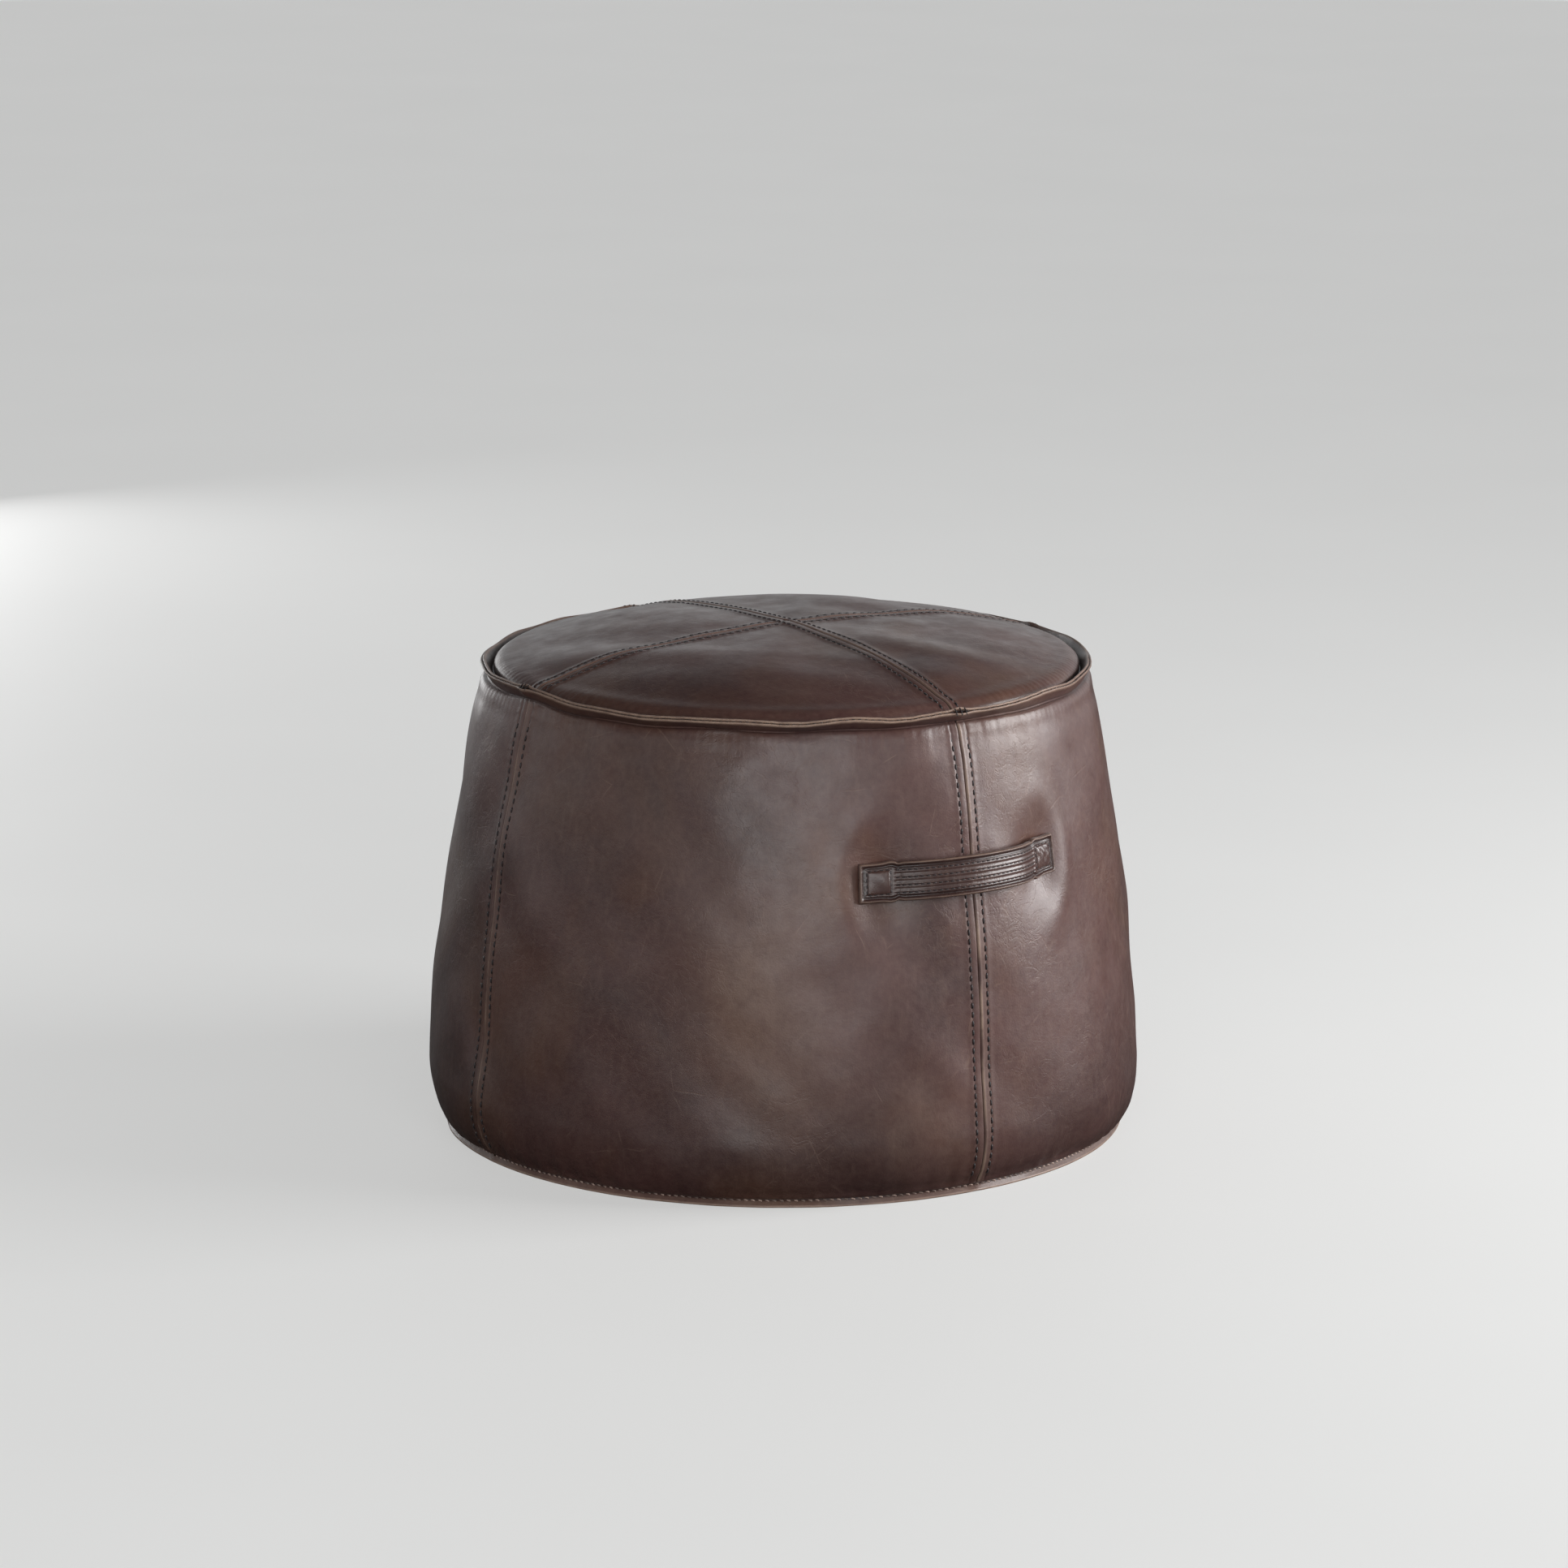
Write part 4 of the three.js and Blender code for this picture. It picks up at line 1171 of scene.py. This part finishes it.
def bead_material(colour):
    """Expanded polystyrene, steamed into beads 3 mm wide: packed white balls with painted shade in the gaps
    between them.
    """
    look = Look("Expanded polystyrene beads")
    balls = look.cells(3)
    # Painted shade, darker towards the edge of each bead.
    look.link(look.mixed(balls, list(colour), toned(colour, 0.5)), "Base Color")
    look.raise_by(balls, 0.8, 0.0012, invert=True)
    look.shader.inputs["Roughness"].default_value = 0.7
    return look.material


def nylon_material(colour):
    """Nylon monofilament, coiled and set: smooth dark teeth with a soft shine."""
    look = Look("Nylon, extruded monofilament")
    cloud = look.noise(2, 2.0, 0.5)
    look.link(look.mixed(cloud, toned(colour, 0.6), toned(colour, 1.4)), "Base Color")
    look.shader.inputs["Roughness"].default_value = 0.35
    return look.material


def brass_material(colour):
    """Brass, die cast and tumbled to an antique finish: warm, darker in the hollows, faintly scuffed."""
    look = Look("Brass, die cast and tumbled")
    cloud = look.noise(4, 4.0, 0.5)
    look.link(look.mixed(look.spread(cloud, 0.35, 0.65), toned(colour, 0.5), list(colour)), "Base Color")
    look.link(look.spread(cloud, 0.3, 0.7, 0.45, 0.25), "Roughness")
    look.raise_by(cloud, 0.25, 0.0002)
    look.shader.inputs["Metallic"].default_value = 1.0
    return look.material


def shared(name, make, *values):
    """A material that several pieces use, made once."""
    return bpy.data.materials.get(name) or make(name, *values)


def cover_leather(colours):
    tones = (colours.leather, colours.leather_dark, colours.leather_warm, colours.leather_worn)
    return shared("Pull-up leather, waxed", leather_material, *map(list, tones), 0.4)


def strap_leather(colours):
    """The same leather, handled and polished until it is darker and shinier."""
    tones = (
        toned(colours.leather, 0.62),
        toned(colours.leather_dark, 0.6),
        toned(colours.leather, 0.8),
        toned(colours.leather_worn, 0.95),
    )
    return shared("Pull-up leather, waxed and polished", leather_material, *tones, 0.3)


def thread(colours):
    return shared("Polyester thread, twisted", thread_material, list(colours.thread))


def rubbed_thread(colours):
    """The same thread where it is rubbed pale along the floor edge."""
    return shared("Polyester thread, twisted and rubbed", thread_material, list(colours.thread_rubbed))


def webbing(colours):
    return shared("Polypropylene webbing, woven", cloth_material, list(colours.webbing), 2.4)


# ---- operators ----


def make_panels(context, make, kind):
    """Four panels of the cover, one for each quarter."""
    leather = cover_leather(context.scene.pouf_colours)
    for quarter, place in enumerate(PLACES):
        piece = make(place, quarter * QUARTER, context.scene.pouf_sizes, leather)
        settle(piece, "cover_leather", kind + place, fill=0.8)


class POUF_OT_top(bpy.types.Operator):
    """Make the four panels of the domed top"""

    bl_idname = "pouf.top"
    bl_label = "Domed top"

    def execute(self, context):
        make_panels(context, top_panel, "top_panel_")
        return {"FINISHED"}


class POUF_OT_side(bpy.types.Operator):
    """Make the four panels of the wall"""

    bl_idname = "pouf.side"
    bl_label = "Wall"

    def execute(self, context):
        make_panels(context, side_panel, "side_panel_")
        return {"FINISHED"}


class POUF_OT_base(bpy.types.Operator):
    """Make the two halves of the floor leather"""

    bl_idname = "pouf.base"
    bl_label = "Base"

    def execute(self, context):
        colours = context.scene.pouf_colours
        tones = (colours.base, toned(colours.base, 0.6), colours.leather_dark, colours.leather_worn)
        leather = leather_material("Split leather, drum dyed", *map(list, tones), 0.6)
        for start, place in ((0.0, "front"), (math.pi, "back")):
            piece = base_panel(place, start, context.scene.pouf_sizes, leather)
            settle(piece, "base_leather", "base_panel_" + place)
        return {"FINISHED"}


class POUF_OT_handle(bpy.types.Operator):
    """Make the handle's three layers and the patches behind its ends"""

    bl_idname = "pouf.handle"
    bl_label = "Handle"

    def execute(self, context):
        colours, sizes = context.scene.pouf_colours, context.scene.pouf_sizes
        leather, woven = cover_leather(colours), webbing(colours)
        width = sizes.strap / MM
        polished = strap_leather(colours)
        strap = strap_layer("handle_strap_soft", 2.4, strap_face, width, 0, polished, marked=True)
        settle(strap, "cover_leather", "handle_strap")
        core = strap_layer("handle_webbing_woven", 1.3, woven_face(0.8), width - 6, 3.6, woven)
        settle(core, "webbing", "handle_webbing")
        lining = strap_layer("handle_lining_soft", 0.0, woven_face(1.0), width - 3, 1.8, leather)
        settle(lining, "cover_leather", "handle_lining")
        for side, place in ((-1, "left"), (1, "right")):
            patch = anchor_patch("anchor_patch_woven_" + place, side, woven)
            settle(patch, "webbing", "anchor_patch_" + place)
        return {"FINISHED"}


class POUF_OT_thread(bpy.types.Operator):
    """Make the stitches of the seams, the standing edges, the base and the handle"""

    bl_idname = "pouf.thread"
    bl_label = "Stitching"

    def execute(self, context):
        sizes, colours = context.scene.pouf_sizes, context.scene.pouf_colours
        for sew in (seam_thread, rim_thread, handle_thread):
            sew(sizes, thread(colours))
        foot_thread(sizes, rubbed_thread(colours))
        return {"FINISHED"}


class POUF_OT_inside(bpy.types.Operator):
    """Make the liner and the filling"""

    bl_idname = "pouf.inside"
    bl_label = "Liner and filling"

    def execute(self, context):
        inside_pieces(context.scene.pouf_colours)
        return {"FINISHED"}


class POUF_OT_zip(bpy.types.Operator):
    """Make the zip's tapes and teeth, and finish its metal pieces"""

    bl_idname = "pouf.zip"
    bl_label = "Zip"

    def execute(self, context):
        colours = context.scene.pouf_colours
        tape = cloth_material("Polyester tape, herringbone woven", list(colours.tape), 1.5)
        coil, brass = nylon_material(list(colours.coil)), brass_material(list(colours.metal))
        for side, place in ((-1, "front"), (1, "back")):
            settle(zip_tape("zip_tape_woven_" + place, side, tape), "zip_tape", "zip_tape_" + place)
            settle(zip_teeth("zip_teeth_" + place, side, coil), "zip_coil", "zip_coil_" + place)
        for node in ("zip_slider", "zip_pull", "zip_bottom_stop", "zip_top_stop_front", "zip_top_stop_back"):
            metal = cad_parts[node]
            metal.data.materials.clear()
            metal.data.materials.append(brass)
            soften = metal.modifiers.new("Worn edges", "BEVEL")
            soften.width, soften.segments, soften.limit_method = 0.00022, 3, "ANGLE"
        return {"FINISHED"}


class POUF_OT_stage(bpy.types.Operator):
    """Make the floor, the surround, the lights and the camera"""

    bl_idname = "pouf.stage"
    bl_label = "Stage"

    def execute(self, context):
        stage = context.scene.pouf_stage
        make_floor(list(stage.floor))
        make_surround(list(stage.surround), stage.ambient)
        low, high = (np.array(corner) for corner in FRAME_BOX)
        aim = (low + high) / 2
        for name, way, distance, size, power in (
            ("Side light", (54, 18), 2.6, (1.5, 1.3), stage.side_light),
            ("Front light", (-28, 16), 3.2, (2.3, 1.8), stage.front_light),
            ("Edge card", (177, 5), 2.8, (1.1, 0.7), stage.edge_card),
        ):
            area_light(name, aim, way, distance, size, power)
        add_camera(stage.lens)
        context.scene.view_settings.view_transform = "Standard"
        return {"FINISHED"}


def make_floor(colour):
    """A painted screed floor: plain and pale, faintly clouded, with a soft reflection. It is open under the
    pouf and clear from below, so that the base can be looked at."""
    look = Look("Painted screed, rolled")
    in_view = look.node("ShaderNodeLightPath").outputs["Is Camera Ray"]
    look.link(look.mixed(in_view, toned(colour, 0.07), toned(colour, 0.6)), "Base Color")
    clouds = {"Vector": look.place, "Scale": 3.0, "Detail": 2.0}
    cloud = look.node("ShaderNodeTexNoise", clouds).outputs["Fac"]
    look.link(look.mixed(cloud, toned(colour, 0.96), colour), "Emission Color")
    look.link(look.maths("MULTIPLY", in_view, 0.72), "Emission Strength")
    look.shader.inputs["Roughness"].default_value = 0.6
    look.shader.inputs["Specular IOR Level"].default_value = 0.15
    from_below = look.node("ShaderNodeNewGeometry").outputs["Backfacing"]
    clear = look.node("ShaderNodeBsdfTransparent").outputs[0]
    sides = look.node("ShaderNodeMixShader", {0: from_below, 1: look.shader.outputs[0], 2: clear}).outputs[0]
    look.tree.links.new(sides, look.tree.nodes["Material Output"].inputs["Surface"])
    near = np.arange(FLOOR_SIDES)
    after = (near + 1) % FLOOR_SIDES
    round_it = near * 2 * math.pi / FLOOR_SIDES
    corners = np.concatenate([turned(round_it, radius, 0.0) for radius in (FLOOR_HOLE, FLOOR_EDGE)])
    faces = np.stack([near, near + FLOOR_SIDES, after + FLOOR_SIDES, after], 1)
    mesh = bpy.data.meshes.new("floor")
    mesh.from_pydata((corners * MM).tolist(), [], faces.tolist())
    mesh.materials.append(look.material)
    floor = bpy.data.objects.new("floor", mesh)
    bpy.context.scene.collection.objects.link(floor)


def make_surround(colour, strength):
    """A plain pale surround that lights less from overhead than from the sides."""
    world = bpy.data.worlds.new("Surround")
    bpy.context.scene.world = world
    world.use_nodes = True
    tree = world.node_tree
    tree.nodes.clear()
    way = add_node(tree, "ShaderNodeTexCoord").outputs["Generated"]
    height = add_node(tree, "ShaderNodeSeparateXYZ", {0: way}).outputs["Z"]
    fade = add_node(
        tree,
        "ShaderNodeMapRange",
        {"Value": height, "From Min": 0.25, "From Max": 0.5, "To Min": 1.0, "To Max": 0.05},
        interpolation_type="SMOOTHSTEP",
    ).outputs["Result"]
    light = add_node(tree, "ShaderNodeMath", {0: fade, 1: strength}, operation="MULTIPLY").outputs[0]
    lit = add_node(tree, "ShaderNodeBackground", {"Color": colour, "Strength": light}).outputs[0]
    plain = add_node(tree, "ShaderNodeBackground", {"Color": colour, "Strength": 1.0}).outputs[0]
    seen = add_node(tree, "ShaderNodeLightPath").outputs["Is Camera Ray"]
    mix = add_node(tree, "ShaderNodeMixShader", {0: seen, 1: lit, 2: plain}).outputs[0]
    add_node(tree, "ShaderNodeOutputWorld", {"Surface": mix})


def area_light(name, aim, way, distance, size, power):
    """A soft box that faces the pouf. Its way is degrees round from -Y towards +X, and degrees above level."""
    a, e = (math.radians(degrees) for degrees in way)
    back = np.array([math.sin(a) * math.cos(e), -math.cos(a) * math.cos(e), math.sin(e)])
    data = bpy.data.lights.new(name, "AREA")
    data.shape, data.size, data.size_y, data.energy = "RECTANGLE", size[0], size[1], power
    lamp = bpy.data.objects.new(name, data)
    lamp.location = aim + back * distance
    lamp.rotation_euler = (math.radians(90) - e, 0, a)
    lamp.visible_camera = False
    bpy.context.scene.collection.objects.link(lamp)


def add_camera(lens):
    """A camera 13 degrees above level, 33 degrees round to the left of the handle."""
    data = bpy.data.cameras.new("Camera")
    data.lens, data.sensor_width = lens, 36
    camera = bpy.data.objects.new("Camera", data)
    camera.location = (-2.529, -3.895, 1.337)
    camera.rotation_euler = (math.radians(77.0), 0, math.radians(-33.0))
    bpy.context.scene.collection.objects.link(camera)
    bpy.context.scene.camera = camera


class VIEW3D_PT_pouf(bpy.types.Panel):
    """The pouf's settings and its making, in order"""

    bl_label = "Round leather pouf"
    bl_space_type = "VIEW_3D"
    bl_region_type = "UI"
    bl_category = "Pouf"

    def draw(self, context):
        for group in (context.scene.pouf_sizes, context.scene.pouf_colours, context.scene.pouf_stage):
            box = self.layout.box()
            for name in group.__annotations__:
                box.prop(group, name)
        for operator in OPERATORS:
            self.layout.operator(operator.bl_idname)


GROUPS = {"pouf_sizes": PoufSizes, "pouf_colours": PoufColours, "pouf_stage": PoufStage}
OPERATORS = (
    POUF_OT_top,
    POUF_OT_side,
    POUF_OT_base,
    POUF_OT_handle,
    POUF_OT_thread,
    POUF_OT_inside,
    POUF_OT_zip,
    POUF_OT_stage,
)


def register():
    for cls in (*GROUPS.values(), *OPERATORS, VIEW3D_PT_pouf):
        bpy.utils.register_class(cls)
    for name, group in GROUPS.items():
        setattr(bpy.types.Scene, name, PointerProperty(type=group))


def unregister():
    for name in GROUPS:
        delattr(bpy.types.Scene, name)
    for cls in reversed((*GROUPS.values(), *OPERATORS, VIEW3D_PT_pouf)):
        bpy.utils.unregister_class(cls)


def main():
    register()
    for operator in OPERATORS:
        group, name = operator.bl_idname.split(".")
        getattr(getattr(bpy.ops, group), name)()
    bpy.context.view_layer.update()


if __name__ == "__main__":
    main()
